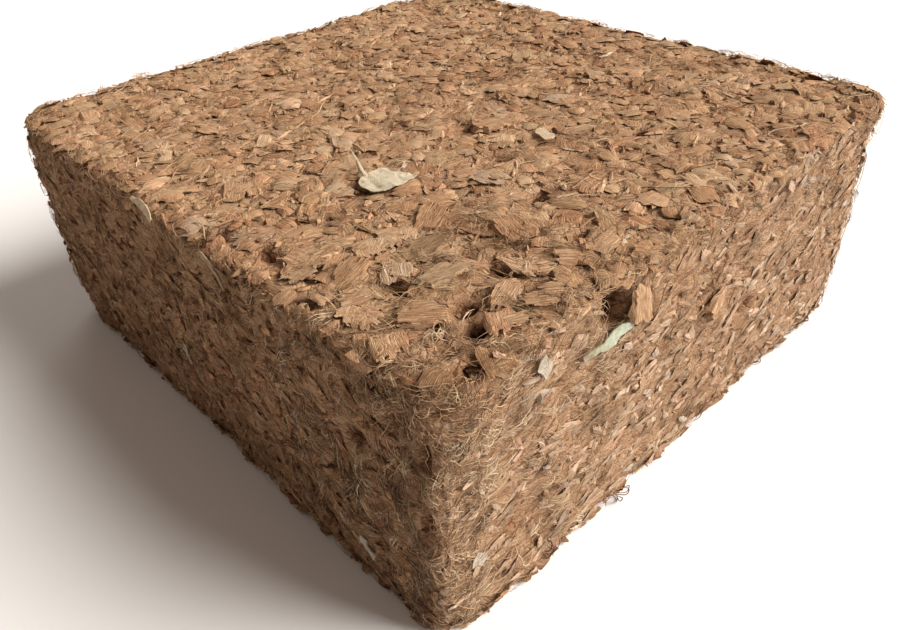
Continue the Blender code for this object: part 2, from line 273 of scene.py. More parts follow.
def sum_of(material, *terms):
    """Adds up (socket, factor) terms."""
    total = 0.0
    for socket, factor in terms:
        total = maths(material, "MULTIPLY_ADD", socket, factor, total)
    return total


def faded(material, value, low, high):
    """0 where the value is low, rising to 1 where it is high."""
    links = {"Value": value, "From Min": low, "From Max": high}
    return node_of(material, "ShaderNodeMapRange", links).outputs[0]


def own_number(material, title):
    """The number that the mesh gives each of its corners."""
    return node_of(material, "ShaderNodeAttribute", attribute_name=title).outputs["Fac"]


def colours_of(material, value, stops):
    """A colour ramp over a value. Stops are (place, colour)."""
    ramp = node_of(material, "ShaderNodeValToRGB", {"Fac": value})
    bands = ramp.color_ramp.elements
    while len(bands) < len(stops):
        bands.new(0.5)
    for band, (place, colour) in zip(bands, stops):
        band.position, band.color = place, (*colour, 1.0)
    return ramp.outputs["Color"]


def finish_material(material, colour, height, depth, roughness, shine=0.25):
    """Wires colour, bumps and shine to the surface."""
    shader = material.node_tree.nodes["Principled BSDF"]
    bumps = {"Height": height, "Distance": depth, "Strength": 1.0}
    bump = node_of(material, "ShaderNodeBump", bumps)
    link = material.node_tree.links.new
    link(colour, shader.inputs["Base Color"])
    link(bump.outputs["Normal"], shader.inputs["Normal"])
    shader.inputs["Roughness"].default_value = roughness
    shader.inputs["Specular IOR Level"].default_value = shine


def new_material(name):
    made = bpy.data.materials.new(name)
    made.use_nodes = True
    return made


# Colours of dry husk, from its dark gaps to bare fibre
HUSK_COLOURS = (
    (0.00, (0.030, 0.011, 0.006)),
    (0.18, (0.128, 0.049, 0.022)),
    (0.42, (0.350, 0.195, 0.103)),
    (0.64, (0.510, 0.323, 0.192)),
    (0.84, (0.585, 0.421, 0.286)),
    (1.00, (0.670, 0.535, 0.405)),
)


def noise_of(material, vector, scale, detail=2.0, roughness=0.6):
    links = {"Vector": vector, "Scale": scale, "Detail": detail, "Roughness": roughness}
    return node_of(material, "ShaderNodeTexNoise", links).outputs["Fac"]


def stretched(material, vector, *scale):
    return node_of(material, "ShaderNodeMapping", {"Vector": vector, "Scale": scale}).outputs[0]


def slabs_of(material, place, size, flatness, seed):
    """Pressed chips too small to model: cells flattened by the press, each with a shade of its
    own and its grain turned its own way. Gives their shade, grain lines and distance to a gap."""
    moved = vector_maths(material, "ADD", place, (seed, seed * 2, seed * 3))
    ragged = {"Vector": moved, "Scale": 0.6 / size, "Detail": 4.0}
    wander = node_of(material, "ShaderNodeTexNoise", ragged).outputs["Color"]
    torn = vector_maths(material, "MULTIPLY_ADD", wander, (size * 1.1,) * 3, moved)
    flat = stretched(material, torn, 1.0, 1.0, flatness)
    cells = {"Vector": flat, "Scale": 1.0 / size, "Randomness": 1.0}
    cell = node_of(material, "ShaderNodeTexVoronoi", cells)
    edge = node_of(material, "ShaderNodeTexVoronoi", cells, feature="DISTANCE_TO_EDGE")
    own = vector_maths(material, "SUBTRACT", flat, cell.outputs["Position"])
    turn = vector_maths(
        material, "MULTIPLY_ADD", cell.outputs["Color"], (0.9, 0.9, 6.28), (-0.45, -0.45, 0.0)
    )
    turning = {"Vector": own, "Rotation": turn}
    turned = node_of(material, "ShaderNodeVectorRotate", turning, rotation_type="EULER_XYZ")
    grain = stretched(material, turned.outputs[0], 90.0, 1500.0, 1500.0)
    shade = node_of(material, "ShaderNodeSeparateColor", {"Color": cell.outputs["Color"]})
    return shade.outputs[0], noise_of(material, grain, 1.0, 3.0), edge.outputs["Distance"]


pith = new_material("pressed pith")
place = node_of(pith, "ShaderNodeTexCoord").outputs["Object"]
shade, lines, gap = slabs_of(pith, place, 0.0075, 2.6, 3.1)
small_shade, small_lines, small_gap = slabs_of(pith, place, 0.0034, 2.0, 7.7)
crack = faded(pith, gap, 0.0, 0.10)
small_crack = faded(pith, small_gap, 0.0, 0.14)
dust = noise_of(pith, place, 1900.0, 3.0, 0.7)
patch = noise_of(pith, place, 45.0, 3.0)
# The depth number paints the pith darker the deeper it lies: painted shade in its hollows
value = sum_of(
    pith, (own_number(pith, "depth"), -0.55), (shade, 0.16), (small_shade, 0.16), (lines, 0.42),
    (small_lines, 0.32), (crack, 0.10), (small_crack, 0.09), (dust, 0.26), (patch, 0.22),
)
height = sum_of(
    pith, (crack, 0.5), (small_crack, 0.3), (lines, 0.7), (small_lines, 0.6), (dust, 0.35)
)
colour = colours_of(pith, maths(pith, "SUBTRACT", value, 0.40), HUSK_COLOURS)
finish_material(pith, colour, height, 0.0010, 0.93, 0.15)

bpy.ops.mesh.primitive_cube_add(size=1.0, location=(0, 0, BALE.z / 2))
bed = bpy.context.object
bed.name = "pressed_pith"
bpy.ops.object.mode_set(mode="EDIT")
bpy.ops.mesh.select_all(action="SELECT")
bpy.ops.transform.resize(value=[side - 2 * PITH_DEPTH for side in BALE])
for (sx, sy), (radius, _) in UPRIGHT_EDGES.items():
    pick(bed, lambda co, _, sx=sx, sy=sy: co.x * sx > 0.1 and co.y * sy > 0.1)
    bpy.ops.mesh.bevel(offset=radius - PITH_DEPTH, segments=8, affect="EDGES")
bpy.ops.mesh.select_all(action="DESELECT")
bpy.ops.mesh.select_mode(type="EDGE")
edges = bmesh.from_edit_mesh(bed.data)
for edge in edges.edges:
    level = abs(edge.verts[0].co.z - edge.verts[1].co.z) < 1e-5
    flats = {abs(face.normal.z) > 0.9 for face in edge.link_faces}
    edge.select = level and len(flats) == 2
edges.select_flush(True)
bmesh.update_edit_mesh(bed.data)
bpy.ops.mesh.bevel(offset=RIM_RADIUS - PITH_DEPTH, segments=3, affect="EDGES")
bpy.ops.object.mode_set(mode="OBJECT")
bpy.ops.object.transform_apply(location=True, rotation=True, scale=True)

weave = bed.modifiers.new("even mesh", "REMESH")
weave.mode = "VOXEL"
weave.voxel_size = PITH_GRAIN
apply_all(bed)
co = places_of(bed.data)
_, out = skin(co)
co += out * swell_of(co)[:, None]
gap, out = skin(co)
worn_off = np.maximum(gap + PITH_DEPTH, 0)
bed.data.vertices.foreach_set("co", (co - out * worn_off[:, None]).astype(np.float32).ravel())
for title, scale, strength in PITH_BUMPS:
    bumps = bpy.data.textures.new(title, "CLOUDS")
    bumps.noise_scale = scale
    bumps.noise_depth = 2
    rough = bed.modifiers.new(title, "DISPLACE")
    rough.texture = bumps
    rough.texture_coords = "LOCAL"
    rough.strength = strength
    rough.mid_level = 0.5
apply_all(bed)

co = places_of(bed.data)
for face, *hole, depth in HOLES:
    reach, height = from_hole(co, face, *hole)
    near = (abs(height) < HOLE_REACH) & (reach < 3)
    co -= face_axes(face)[2] * (near * depth * np.exp(-HOLE_STEEPNESS * reach))[:, None]
co[:, 2] = np.maximum(co[:, 2], PITH_GROUND)
bed.data.vertices.foreach_set("co", co.astype(np.float32).ravel())
bed.data.update()
bpy.ops.object.shade_smooth()
lay_out_by_face(bed.data)
bed.data.materials.append(pith)
gap, _ = skin(co)
# Painted shade: the deeper below the skin the pith lies, the darker it is painted
give_numbers(bed.data, "depth", np.clip((-gap - PAINTED_SHADE_FROM) / PAINTED_SHADE_DEPTH, 0, 1))
pith_tree = BVHTree.FromPolygons(co.tolist(), [face.vertices for face in bed.data.polygons])


def pith_level(points, out):
    """How far the pith stands out of the smooth skin at each point, and which way it faces."""
    level, way = np.full(len(points), -PITH_DEPTH), out.copy()
    for index, (point, outward) in enumerate(zip(points, out)):
        start = Vector(point + outward * SEARCH_START)
        _, normal, _, distance = pith_tree.ray_cast(start, -Vector(outward), SEARCH_LENGTH)
        if distance is not None:
            level[index], way[index] = SEARCH_START - distance, normal
    return level, length_one(way * FOLLOWED_LEAN + out * (1 - FOLLOWED_LEAN))


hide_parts("pressed_bale")
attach(bed, "root")

# ---- Husk chips of the top and the underside
# Flakes of husk, chopped across and torn along the grain, 5 to 20 mm long. The press laid them
# flat on top and below, one over the other, with shreds of bare fibre pressed in between.
FLAKE = Vector((0.0150, 0.0118, 0.0008))
SMALL_FLAKE = Vector((0.0084, 0.0068, 0.0007))
SHRED = Vector((0.0120, 0.0023, 0.0006))
FLAKE_PITCH = 0.0122
SMALL_FLAKE_PITCH = 0.0088
SHRED_PITCH = 0.0083


def model_flake(name, seed, cells, size, tear=0.0020, ridge=0.00018, bend=0.17):
    """A flake of husk, its grain along X and its back near z = 0. It starts as a grid, is raised
    off its back, gets ridges, torn ends and split sides, and is curled and twisted a little."""
    rng = np.random.default_rng(seed)
    along, across = cells
    bpy.ops.object.select_all(action="DESELECT")
    bpy.ops.mesh.primitive_grid_add(x_subdivisions=along, y_subdivisions=across, size=1.0)
    flake = bpy.context.object
    flake.name = name
    end, edge, step = size.x / 2 * 0.98, size.y / 2 * 0.98, size.y / across
    bpy.ops.object.mode_set(mode="EDIT")
    bpy.ops.mesh.select_all(action="SELECT")
    bpy.ops.transform.resize(value=(size.x, size.y, 1))
    bpy.ops.mesh.select_mode(type="EDGE")
    bpy.ops.mesh.select_all(action="DESELECT")
    bpy.ops.mesh.select_non_manifold()
    bpy.ops.mesh.edge_face_add()
    pick(flake, lambda p, _: abs(p.x) < end and abs(p.y) < edge)
    bpy.ops.transform.translate(value=(0, 0, size.z))
    bpy.ops.mesh.select_all(action="SELECT")
    bpy.ops.mesh.normals_make_consistent(inside=False)
    for row in range(across + 1):
        level = -size.y / 2 + row * step
        pick(flake, lambda p, _: abs(p.y - level) < step / 9 and p.z > -1e-6 and abs(p.x) < end)
        bpy.ops.transform.translate(value=(0, 0, rng.normal(0, ridge)))
        for side in (-1, 1):
            pick(flake, lambda p, _: abs(p.y - level) < step / 9 and p.x * side > end * 0.8)
            bpy.ops.transform.translate(value=(-side * rng.uniform(-0.35, 1) * tear, 0, 0))
    for side in (-1, 1):
        slant = rng.normal(0, 0.15)
        pick(flake, lambda p, _: p.x * side > end * 0.6 and p.y * slant > 0)
        bpy.ops.transform.translate(value=(-side * abs(slant) * size.x * 0.40, 0, 0))
        pick(flake, lambda p, _: p.y * side > edge)
        bpy.ops.transform.vertex_random(offset=size.y * 0.07, seed=int(rng.integers(1, 9999)))
        pick(flake, lambda p, _: p.y * side > edge * 0.85 and abs(p.x) > end * 0.40)
        bpy.ops.transform.translate(value=(0, -side * rng.uniform(0, 0.20) * size.y, 0))
    bpy.ops.mesh.select_all(action="SELECT")
    bpy.ops.transform.vertex_random(offset=size.y * 0.035, seed=int(rng.integers(1, 9999)))
    bpy.ops.object.mode_set(mode="OBJECT")
    for axis, method in (("Y", "BEND"), ("X", "TWIST")):
        curl = flake.modifiers.new("curl", "SIMPLE_DEFORM")
        curl.deform_method = method
        curl.deform_axis = axis
        curl.angle = rng.normal(0, bend)
    apply_all(flake)
    return flake


def pattern_of(obj):
    """What strew needs of a model: its corners, faces, grain map and picture map. The model is
    then removed."""
    mesh = obj.data
    co = places_of(mesh)
    vertex, face, total = corner_numbers(mesh)
    low, span = co.min(0), np.ptp(co, axis=0)
    grain = co[vertex][:, :2].copy()
    grain[:, 1] += co[vertex][:, 2]
    out = numbers_of(mesh.polygons, "normal", 3)[face]
    unit = (co[vertex][:, :2] - low[:2]) / span[:2] - 0.5
    backs = out[:, 2] < -0.8
    walls = (co[vertex][:, 2] < low[2] + span[2] * 0.4) & (out[:, 2] > -0.8)
    unit *= 1 + 0.28 * walls[:, None]
    picture = np.stack([0.5 + unit[:, 0] * 0.72, 0.56 + unit[:, 1] * 0.62], 1)
    picture[backs] = np.stack([0.5 + unit[backs, 0] * 0.9, 0.07 + unit[backs, 1] * 0.08], 1)
    found = {"co": co, "vertex": vertex, "total": total, "grain": grain, "picture": picture}
    bpy.data.objects.remove(obj)
    return found


def flakes_like(name, seeds, cells, size, **shape):
    """Models a few flakes of one kind."""
    return [pattern_of(model_flake(name, seed, cells, size, **shape)) for seed in seeds]


# The corner that stands nearest, where the skin has sprung up most, and how far that reaches
NEAREST_CORNER = np.array((-0.150, -0.154, 0.118))
SPRINGING = 0.055
# How far a chip may stand out of the skin, and how much further at that corner
STAND_OUT = 0.0006
SPRUNG_OUT = 0.0012
# The lowest that a chip may lie, the height over which it flattens out there, and how much
# higher than the lowest it may then be
GROUND = 0.0002
FLATTENING = 0.0004
PILING = 0.0006
# The angle between two faces, in degrees, from which the edge between them looks sharp
SHARP_ANGLE = 38


def pressed_flat(co, spare=0.0):
    """What stands out of the skin, pushed back as by the mould wall."""
    gap, out = skin(co)
    sprung = np.exp(-((np.linalg.norm(co - NEAREST_CORNER, axis=1) / SPRINGING) ** 2))
    excess = np.maximum(gap - STAND_OUT - SPRUNG_OUT * sprung - spare, 0)
    return co - out * (excess * 0.9)[:, None]


def strew(name, patterns, which, spots, axes, sizes, shades, material, spare=0.0):
    """One mesh of many copies of the patterns. axes are each copy's along, across and out, and
    spare how much further than the rest they may stand out."""
    rng = np.random.default_rng(len(which))
    tints = rng.uniform(0, 1, len(which))
    slide = rng.uniform(0, 1, (len(which), 2))
    cells = math.ceil(math.sqrt(len(which)))
    parts = {key: [] for key in ("co", "vertex", "total", "grain", "picture", "shade", "tint")}
    count = 0
    for index, pattern in enumerate(patterns):
        mine = np.flatnonzero(which == index)
        if not len(mine):
            continue
        scaled = pattern["co"][None] * sizes[mine][:, None]
        placed = np.einsum("nvk,nkd->nvd", scaled, axes[mine]) + spots[mine][:, None]
        placed = pressed_flat(placed.reshape(-1, 3), spare)
        size = len(pattern["co"])
        lowest = GROUND + np.repeat(rng.uniform(0, PILING, len(mine)), size)
        placed[:, 2] = lowest + FLATTENING * np.logaddexp(0, (placed[:, 2] - lowest) / FLATTENING)
        offset = count + size * np.arange(len(mine))
        cell = np.stack([mine % cells, mine // cells], 1)[:, None]
        grain = pattern["grain"][None] * sizes[mine][:, None, :2] + slide[mine][:, None]
        parts["co"].append(placed)
        parts["vertex"].append((pattern["vertex"][None] + offset[:, None]).ravel())
        parts["total"].append(np.tile(pattern["total"], len(mine)))
        parts["grain"].append(grain.reshape(-1, 2))
        parts["picture"].append(((pattern["picture"][None] + cell) / cells).reshape(-1, 2))
        parts["shade"].append(np.repeat(shades[mine], size))
        parts["tint"].append(np.repeat(tints[mine], size))
        count += size * len(mine)
    laid = joined(name, {key: np.concatenate(value) for key, value in parts.items()}, material)
    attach(laid, "root")


def joined(name, parts, material):
    """The object whose mesh has these corners and faces, resting on the ground at the lowest."""
    mesh = bpy.data.meshes.new(name)
    co = parts["co"]
    co[:, 2] = np.maximum(co[:, 2], GROUND)
    total = parts["total"].astype(np.int32)
    mesh.vertices.add(len(co))
    mesh.vertices.foreach_set("co", co.astype(np.float32).ravel())
    mesh.loops.add(len(parts["vertex"]))
    mesh.loops.foreach_set("vertex_index", parts["vertex"].astype(np.int32))
    mesh.polygons.add(len(total))
    start = np.concatenate([[0], np.cumsum(total)[:-1]]).astype(np.int32)
    mesh.polygons.foreach_set("loop_start", start)
    mesh.polygons.foreach_set("loop_total", total)
    mesh.polygons.foreach_set("use_smooth", np.full(len(total), True))
    mesh.update(calc_edges=True)
    give_map(mesh, "grain", parts["grain"])
    give_map(mesh, "OFBake", parts["picture"])
    give_numbers(mesh, "shade", parts["shade"])
    give_numbers(mesh, "tint", parts["tint"])
    mesh.materials.append(material)
    mesh.set_sharp_from_angle(angle=math.radians(SHARP_ANGLE))
    made = bpy.data.objects.new(name, mesh)
    bpy.context.scene.collection.objects.link(made)
    return made


def face_size(face):
    """How far a face runs across and up."""
    a, u, _ = face_axes(face)
    return abs(np.array(BALE) @ a), abs(np.array(BALE) @ u)


def spots_on(face, pitch, rng, jitter=0.46):
    """Places spread over one face, a pitch apart, drawn onto the skin, with the way out."""
    a, u, _ = face_axes(face)
    run, rise = face_size(face)
    columns, rows = round(run / pitch), round(rise / pitch)
    column, row = (grid.ravel() for grid in np.meshgrid(np.arange(columns), np.arange(rows)))
    column = column + (row % 2) * 0.5 - 0.25
    across = ((column + 0.5 + rng.uniform(-jitter, jitter, len(column))) / columns - 0.5) * run
    up = ((row + 0.5 + rng.uniform(-jitter, jitter, len(row))) / rows - 0.5) * rise
    return onto_skin(face_point(face, 0, 0) + across[:, None] * a + up[:, None] * u)


def turned_axes(out, level, turn, lean):
    """Each copy's along, across and out: along turned from level about the way out, and the
    whole leaned over by two small angles."""
    along = np.broadcast_to(level, out.shape) - out * (out @ level)[:, None]
    weak = np.linalg.norm(along, axis=1) < 0.2
    along[weak] = np.cross(out[weak], (0.3, 0.5, 0.8))
    along = length_one(along)
    across = np.cross(out, along)
    c, s = np.cos(turn)[:, None], np.sin(turn)[:, None]
    along, across = along * c + across * s, across * c - along * s
    out = length_one(out + along * lean[:, :1] + across * lean[:, 1:])
    along = length_one(along - out * (along * out).sum(1)[:, None])
    return np.stack([along, np.cross(out, along), out], 1)


def turned_any_way(out, lean, rng):
    """Axes turned any way about the way out, and leaned over a little."""
    turns = rng.uniform(0, math.tau, len(out))
    return turned_axes(out, np.array((1.0, 0, 0)), turns, rng.normal(0, lean, (len(out), 2)))


# What lies loose on each face, kept clear of the chips round it: face, place, reach and the
# highest that a chip under it may stand
KEPT_CLEAR = []
# How near to the face's plane a spot has to be to lie in a hole
HOLE_MOUTH = 0.01


def in_a_hole(spots, grown=0.0):
    """Which spots lie in a hole of the skin, each hole grown by a little."""
    inside = np.zeros(len(spots), bool)
    for face, *hole, _ in HOLES:
        reach, height = from_hole(spots, face, *hole, grown)
        inside |= (reach < 1) & (abs(height) < HOLE_MOUTH)
    return inside


def pressed_down(spots, lift, reach):
    """The lifts, lowered where a loose piece or a hole is, and which spots are in a hole."""
    lift = lift.copy()
    for face, (across, up), radius, most in KEPT_CLEAR:
        away = np.linalg.norm(spots - face_point(face, across, up), axis=1)
        near = away < radius + reach * 0.5
        lift[near] = np.minimum(lift[near], most)
    return lift, in_a_hole(spots, reach * 0.42)


# Chips that could be picked off, and pale scraps, as the solids have them: name, face, place
# across and up, length and width, turn in degrees and how far they stand out
LOOSE_CHIPS = (
    ("husk_chip_01", "top", (-0.0975, -0.0947), (0.0180, 0.0128), -15, 0.0018),
    ("husk_chip_02", "top", (-0.1045, -0.1105), (0.0200, 0.0105), -8, 0.0013),
    ("husk_chip_03", "top", (-0.1241, -0.1226), (0.0190, 0.0120), -42, 0.0018),
    ("husk_chip_04", "top", (-0.0664, -0.1083), (0.0170, 0.0155), 78, 0.0014),
    ("husk_chip_05", "top", (-0.0805, -0.0800), (0.0205, 0.0125), 30, 0.0016),
    ("husk_chip_06", "top", (-0.1257, -0.0885), (0.0180, 0.0100), 20, 0.0014),
    ("husk_chip_07", "top", (-0.0990, -0.1335), (0.0160, 0.0090), 24, 0.0012),
    ("husk_chip_08", "top", (-0.0080, -0.0395), (0.0180, 0.0125), -20, 0.0017),
    ("husk_chip_09", "top", (-0.0300, 0.0300), (0.0190, 0.0130), 15, 0.0015),
    ("husk_chip_10", "top", (0.0710, 0.0120), (0.0180, 0.0120), 40, 0.0016),
    ("husk_chip_11", "front", (-0.0540, 0.0415), (0.0215, 0.0125), -74, 0.0028),
    ("husk_chip_12", "front", (0.0040, 0.0120), (0.0160, 0.0080), 38, 0.0018),
)
PALE_SCRAPS = (
    ("cream_husk_strip", "left rim", (-0.0090, -0.0655), (0.0200, 0.0052), -11, 0.0024),
    ("tan_husk_strip", "left", (0.0415, 0.0525), (0.0180, 0.0034), -31, 0.0020),
    ("green_husk_scrap", "front", (-0.0705, 0.0352), (0.0285, 0.0068), -3, 0.0012),
    ("grey_husk_scrap", "front", (-0.1040, 0.0450), (0.0090, 0.0060), -52, 0.0010),
    ("white_husk_scrap", "front", (-0.1340, -0.0200), (0.0080, 0.0060), -38, 0.0010),
    ("white_husk_sliver", "left", (0.1144, -0.0348), (0.0125, 0.0048), -60, 0.0012),
    ("pale_side_scrap", "left", (-0.0070, -0.0124), (0.0105, 0.0062), -70, 0.0010),
    ("beige_top_scrap", "top", (0.0010, -0.0640), (0.0120, 0.0060), 70, 0.0012),
)
LEAF_PLACE = (-0.0733, -0.0454)
for _, face, spot, (length, width), _, _ in LOOSE_CHIPS:
    KEPT_CLEAR.append((face, spot, (length + width) / 4 - 0.001, -0.0012))
for _, face, spot, (length, width), _, _ in PALE_SCRAPS:
    KEPT_CLEAR.append((face, spot, (length + width) / 5, -0.0006))
KEPT_CLEAR.append(("top", LEAF_PLACE, 0.0115, -0.0008))

# How the colour of one piece may differ from the next, from greyer to redder
HUSK_TINTS = (
    (0.00, (0.91, 0.96, 1.01)),
    (0.14, (0.98, 1.00, 0.93)),
    (0.40, (1.01, 0.99, 0.92)),
    (0.80, (1.03, 0.97, 0.90)),
    (1.00, (1.06, 0.93, 0.86)),
)


def grain_and_place(material):
    """The piece's map along its grain, and the place on the bale."""
    grain = node_of(material, "ShaderNodeUVMap", uv_map="grain").outputs[0]
    return grain, node_of(material, "ShaderNodeTexCoord").outputs["Object"]


def husk_material(name, stops=HUSK_COLOURS, lines=0.54, speckle=0.36, depth=0.0005):
    """Torn husk: fibres side by side along the grain with dark grooves between them, pith dust
    on top, and a colour that differs from piece to piece by its own shade and tint."""
    made = new_material(name)
    grain, place = grain_and_place(made)
    wave = noise_of(made, stretched(made, grain, 160.0, 160.0, 1.0), 1.0, 1.0)
    aside = node_of(made, "ShaderNodeCombineXYZ", {"Y": wave}).outputs[0]
    bent = vector_maths(made, "MULTIPLY_ADD", aside, (0, 0.0009, 0), grain)
    strands = noise_of(made, stretched(made, bent, 80.0, 1900.0, 1.0), 1.0, 1.0)
    hairs = noise_of(made, stretched(made, bent, 190.0, 4600.0, 1.0), 1.0, 2.0)
    off_middle = maths(made, "ABSOLUTE", maths(made, "SUBTRACT", strands, 0.5))
    groove = faded(made, off_middle, 0.0, 0.055)
    dust = noise_of(made, place, 1300.0, 4.0, 0.7)
    blotch = noise_of(made, place, 260.0, 3.0)
    value = sum_of(
        made, (own_number(made, "shade"), 1.0), (strands, lines), (hairs, lines * 0.75),
        (groove, lines * 0.34), (dust, speckle), (blotch, 0.30),
    )
    middle = lines * (0.5 + 0.375 + 0.26) + speckle * 0.5 + 0.15
    plain = colours_of(made, maths(made, "SUBTRACT", value, middle), stops)
    hue = colours_of(made, own_number(made, "tint"), HUSK_TINTS)
    both = {"Factor": 1.0, 6: plain, 7: hue}
    tinted = node_of(made, "ShaderNodeMix", both, data_type="RGBA", blend_type="MULTIPLY")
    height = sum_of(made, (strands, 0.7), (groove, 0.35), (hairs, 0.4), (dust, 0.25))
    finish_material(made, tinted.outputs[2], height, depth, 0.85)
    return made


husk = husk_material("torn husk")
# Rubbed along the mould wall the husk is a little greyer
rubbed_husk = husk_material(
    "rubbed husk",
    [(place, (r * 0.97, g * 1.09, b * 1.32)) for place, (r, g, b) in HUSK_COLOURS],
    lines=0.46,
)

flakes = flakes_like("flake", range(11, 21), (4, 6), FLAKE, tear=0.0026)
small_flakes = flakes_like("small flake", range(31, 39), (3, 4), SMALL_FLAKE, ridge=0.0001)
shreds = flakes_like("shred", range(41, 47), (4, 2), SHRED, tear=0.0026, ridge=0.0001, bend=0.5)
# How near to the sharp edge that stands nearest the pieces of the sides lie along it
BESIDE_EDGE = 0.007


def lay_pieces(
    name, face, patterns, pitch, lifts, lean, turn, shade, size_range, rng, material, reach
):
    """Lays pieces over one face, a pitch apart. lifts are the mean and spread of how far they
    stand on the pith, turn their spread about level and shade the mean and spread of colour."""
    spots, out = spots_on(face, pitch, rng)
    number = len(spots)
    level, way = pith_level(spots, out)
    lift = level + np.clip(rng.normal(*lifts, number), lifts[0] - 0.0012, lifts[0] + 0.0014)
    if face == "under":
        lift = np.minimum(lift, -0.0004)
    lift, inside = pressed_down(spots, lift, reach)
    turns = rng.normal(0, turn, number) + math.pi * rng.integers(0, 2, number)
    beside = np.linalg.norm((spots - NEAREST_CORNER)[:, :2], axis=1) < BESIDE_EDGE
    beside &= abs(out[:, 2]) < 0.5
    turns = np.where(beside, math.pi / 2 + 0.3 * np.sin(7 * turns), turns)
    axes = turned_axes(way, face_axes(face)[0], turns, rng.normal(0, lean, (number, 2)))
    chosen = rng.integers(0, len(patterns), number)
    sizes = rng.uniform(*size_range, (number, 3))
    # Painted shade: the lower a piece lies, the darker its shade, standing in for the shade
    # between the pieces round it
    shades = np.clip(rng.normal(*shade, number) + (lift + 0.0008) * 70, 0.03, 0.97)
    kept = ~inside
    strew(
        name, patterns, chosen[kept], (spots + out * lift[:, None])[kept], axes[kept],
        sizes[kept], shades[kept], material,
    )


for face, spacing, lean in (("top", 1.0, 0.028), ("under", 1.40, 0.02)):
    rng = np.random.default_rng(71 + len(face))
    lay_pieces(
        f"{face}_flakes", face, flakes, FLAKE_PITCH * spacing, (0.0001, 0.0002), lean, 9.0,
        (0.56, 0.07), (0.60, 1.15), rng, husk, 0.012,
    )
    lay_pieces(
        f"{face}_small_flakes", face, small_flakes, SMALL_FLAKE_PITCH * spacing, (0.0001, 0.0003),
        lean * 1.3, 9.0, (0.55, 0.08), (0.65, 1.30), rng, husk, 0.008,
    )
    lay_pieces(
        f"{face}_shreds", face, shreds, SHRED_PITCH * spacing, (0.0002, 0.0003), lean * 1.6, 9.0,
        (0.57, 0.09), (0.55, 1.25), rng, husk, 0.006,
    )

# Where the skin has sprung up, round the nearest corner, more flakes lie on top, their fibres
# coming apart: how many are drawn, how far they reach, and from where
SPRUNG_FLAKES = 74
SPRUNG_REACH = 0.085
SPRUNG_MIDDLE = NEAREST_CORNER + (0.004, 0.004, 0)
splintered = husk_material("splintered husk", lines=0.60, speckle=0.50, depth=0.0007)
splintered_flakes = flakes_like(
    "splintered flake", range(71, 79), (6, 11), FLAKE, tear=0.0042, ridge=0.00034
)
rng = np.random.default_rng(85)
away = SPRUNG_REACH * np.sqrt(rng.uniform(0.002, 1, SPRUNG_FLAKES))
turns = rng.uniform(0, math.pi / 2, SPRUNG_FLAKES)
fan = np.column_stack([away * np.cos(turns), away * np.sin(turns), 0 * away])
spots, out = onto_skin(SPRUNG_MIDDLE + fan)
lift, _ = pressed_down(spots, rng.normal(0.0006, 0.0004, SPRUNG_FLAKES), 0.012)
kept = ~in_a_hole(spots, 0.0015) & (lift > 0)
number = kept.sum()
strew(
    "sprung_flakes", splintered_flakes, rng.integers(0, len(splintered_flakes), number),
    (spots + out * lift[:, None])[kept], turned_any_way(out[kept], 0.08, rng),
    rng.uniform(0.55, 1.0, (number, 3)) * (1, 1, 1.3),
    np.clip(rng.normal(0.54, 0.07, number), 0, 0.62), splintered,
)

# Whole flakes that overhang the rim of the top and the foot, where they were squeezed out: how
# far apart they are, the height of the skin that they lie on, their lowest and highest place,
# how much further than the rest they may stand out, and their shade
SIDES = ("front", "right", "back", "left")
SQUEEZED_IN = (0.0025, 0.0052)
KEPT_APART = 0.005
rng = np.random.default_rng(91)
for title, pitch, level, low, high, spare, shade in (
    ("rim", 0.0068, BALE.z - 0.006, 0.1150, 0.1174, 0.0009, 0.52),
    ("foot", 0.0130, 0.006, 0.0006, 0.0050, 0.0004, 0.42),
):
    spots, way = [], []
    for face in SIDES:
        run, _ = face_size(face)
        number = round(run / pitch)
        across = (np.arange(number) + rng.uniform(0, 1, number)) / number - 0.5
        line = face_point(face, 0, level - BALE.z / 2) + across[:, None] * run * face_axes(face)[0]
        spot, out = onto_skin(line)
        out[:, 2] = 0
        spot -= out * rng.uniform(*SQUEEZED_IN, (number, 1))
        spot[:, 2] = rng.uniform(low, high, number)
        spots.append(spot)
        way.append(out)
    spots, way = np.concatenate(spots), np.concatenate(way)
    free = ~in_a_hole(spots)
    for face, spot, radius, _ in KEPT_CLEAR:
        free &= np.linalg.norm(spots - face_point(face, *spot), axis=1) > radius + KEPT_APART
    spots, way = spots[free], way[free]
    number = len(spots)
    upward = np.tile((0.0, 0.0, 1.0), (number, 1)) + way * rng.normal(0.22, 0.16, (number, 1))
    axes = turned_any_way(length_one(upward), 0.05, rng)
    strew(
        f"{title}_flakes", small_flakes + shreds[:3],
        rng.integers(0, len(small_flakes) + 3, number), spots, axes,
        rng.uniform(0.75, 1.35, (number, 3)), np.clip(rng.normal(shade, 0.08, number), 0, 1),
        husk, spare,
    )

# ---- Slivers of the four sides
# The same chips seen on edge, and shreds. The press laid them level, so the sides show streaks
# 4 to 18 mm long and a few high, smeared along the mould wall and sunk in the pith.
SLIVER = Vector((0.0130, 0.0034, 0.0009))
STUB = Vector((0.0064, 0.0042, 0.0010))
SLIVER_PITCH = 0.0066
STUB_PITCH = 0.0108
slivers = flakes_like("sliver", range(51, 60), (4, 2), SLIVER, tear=0.0030, ridge=0.0001, bend=0.4)
stubs = flakes_like("stub", range(61, 67), (3, 3), STUB, tear=0.0012, bend=0.3)
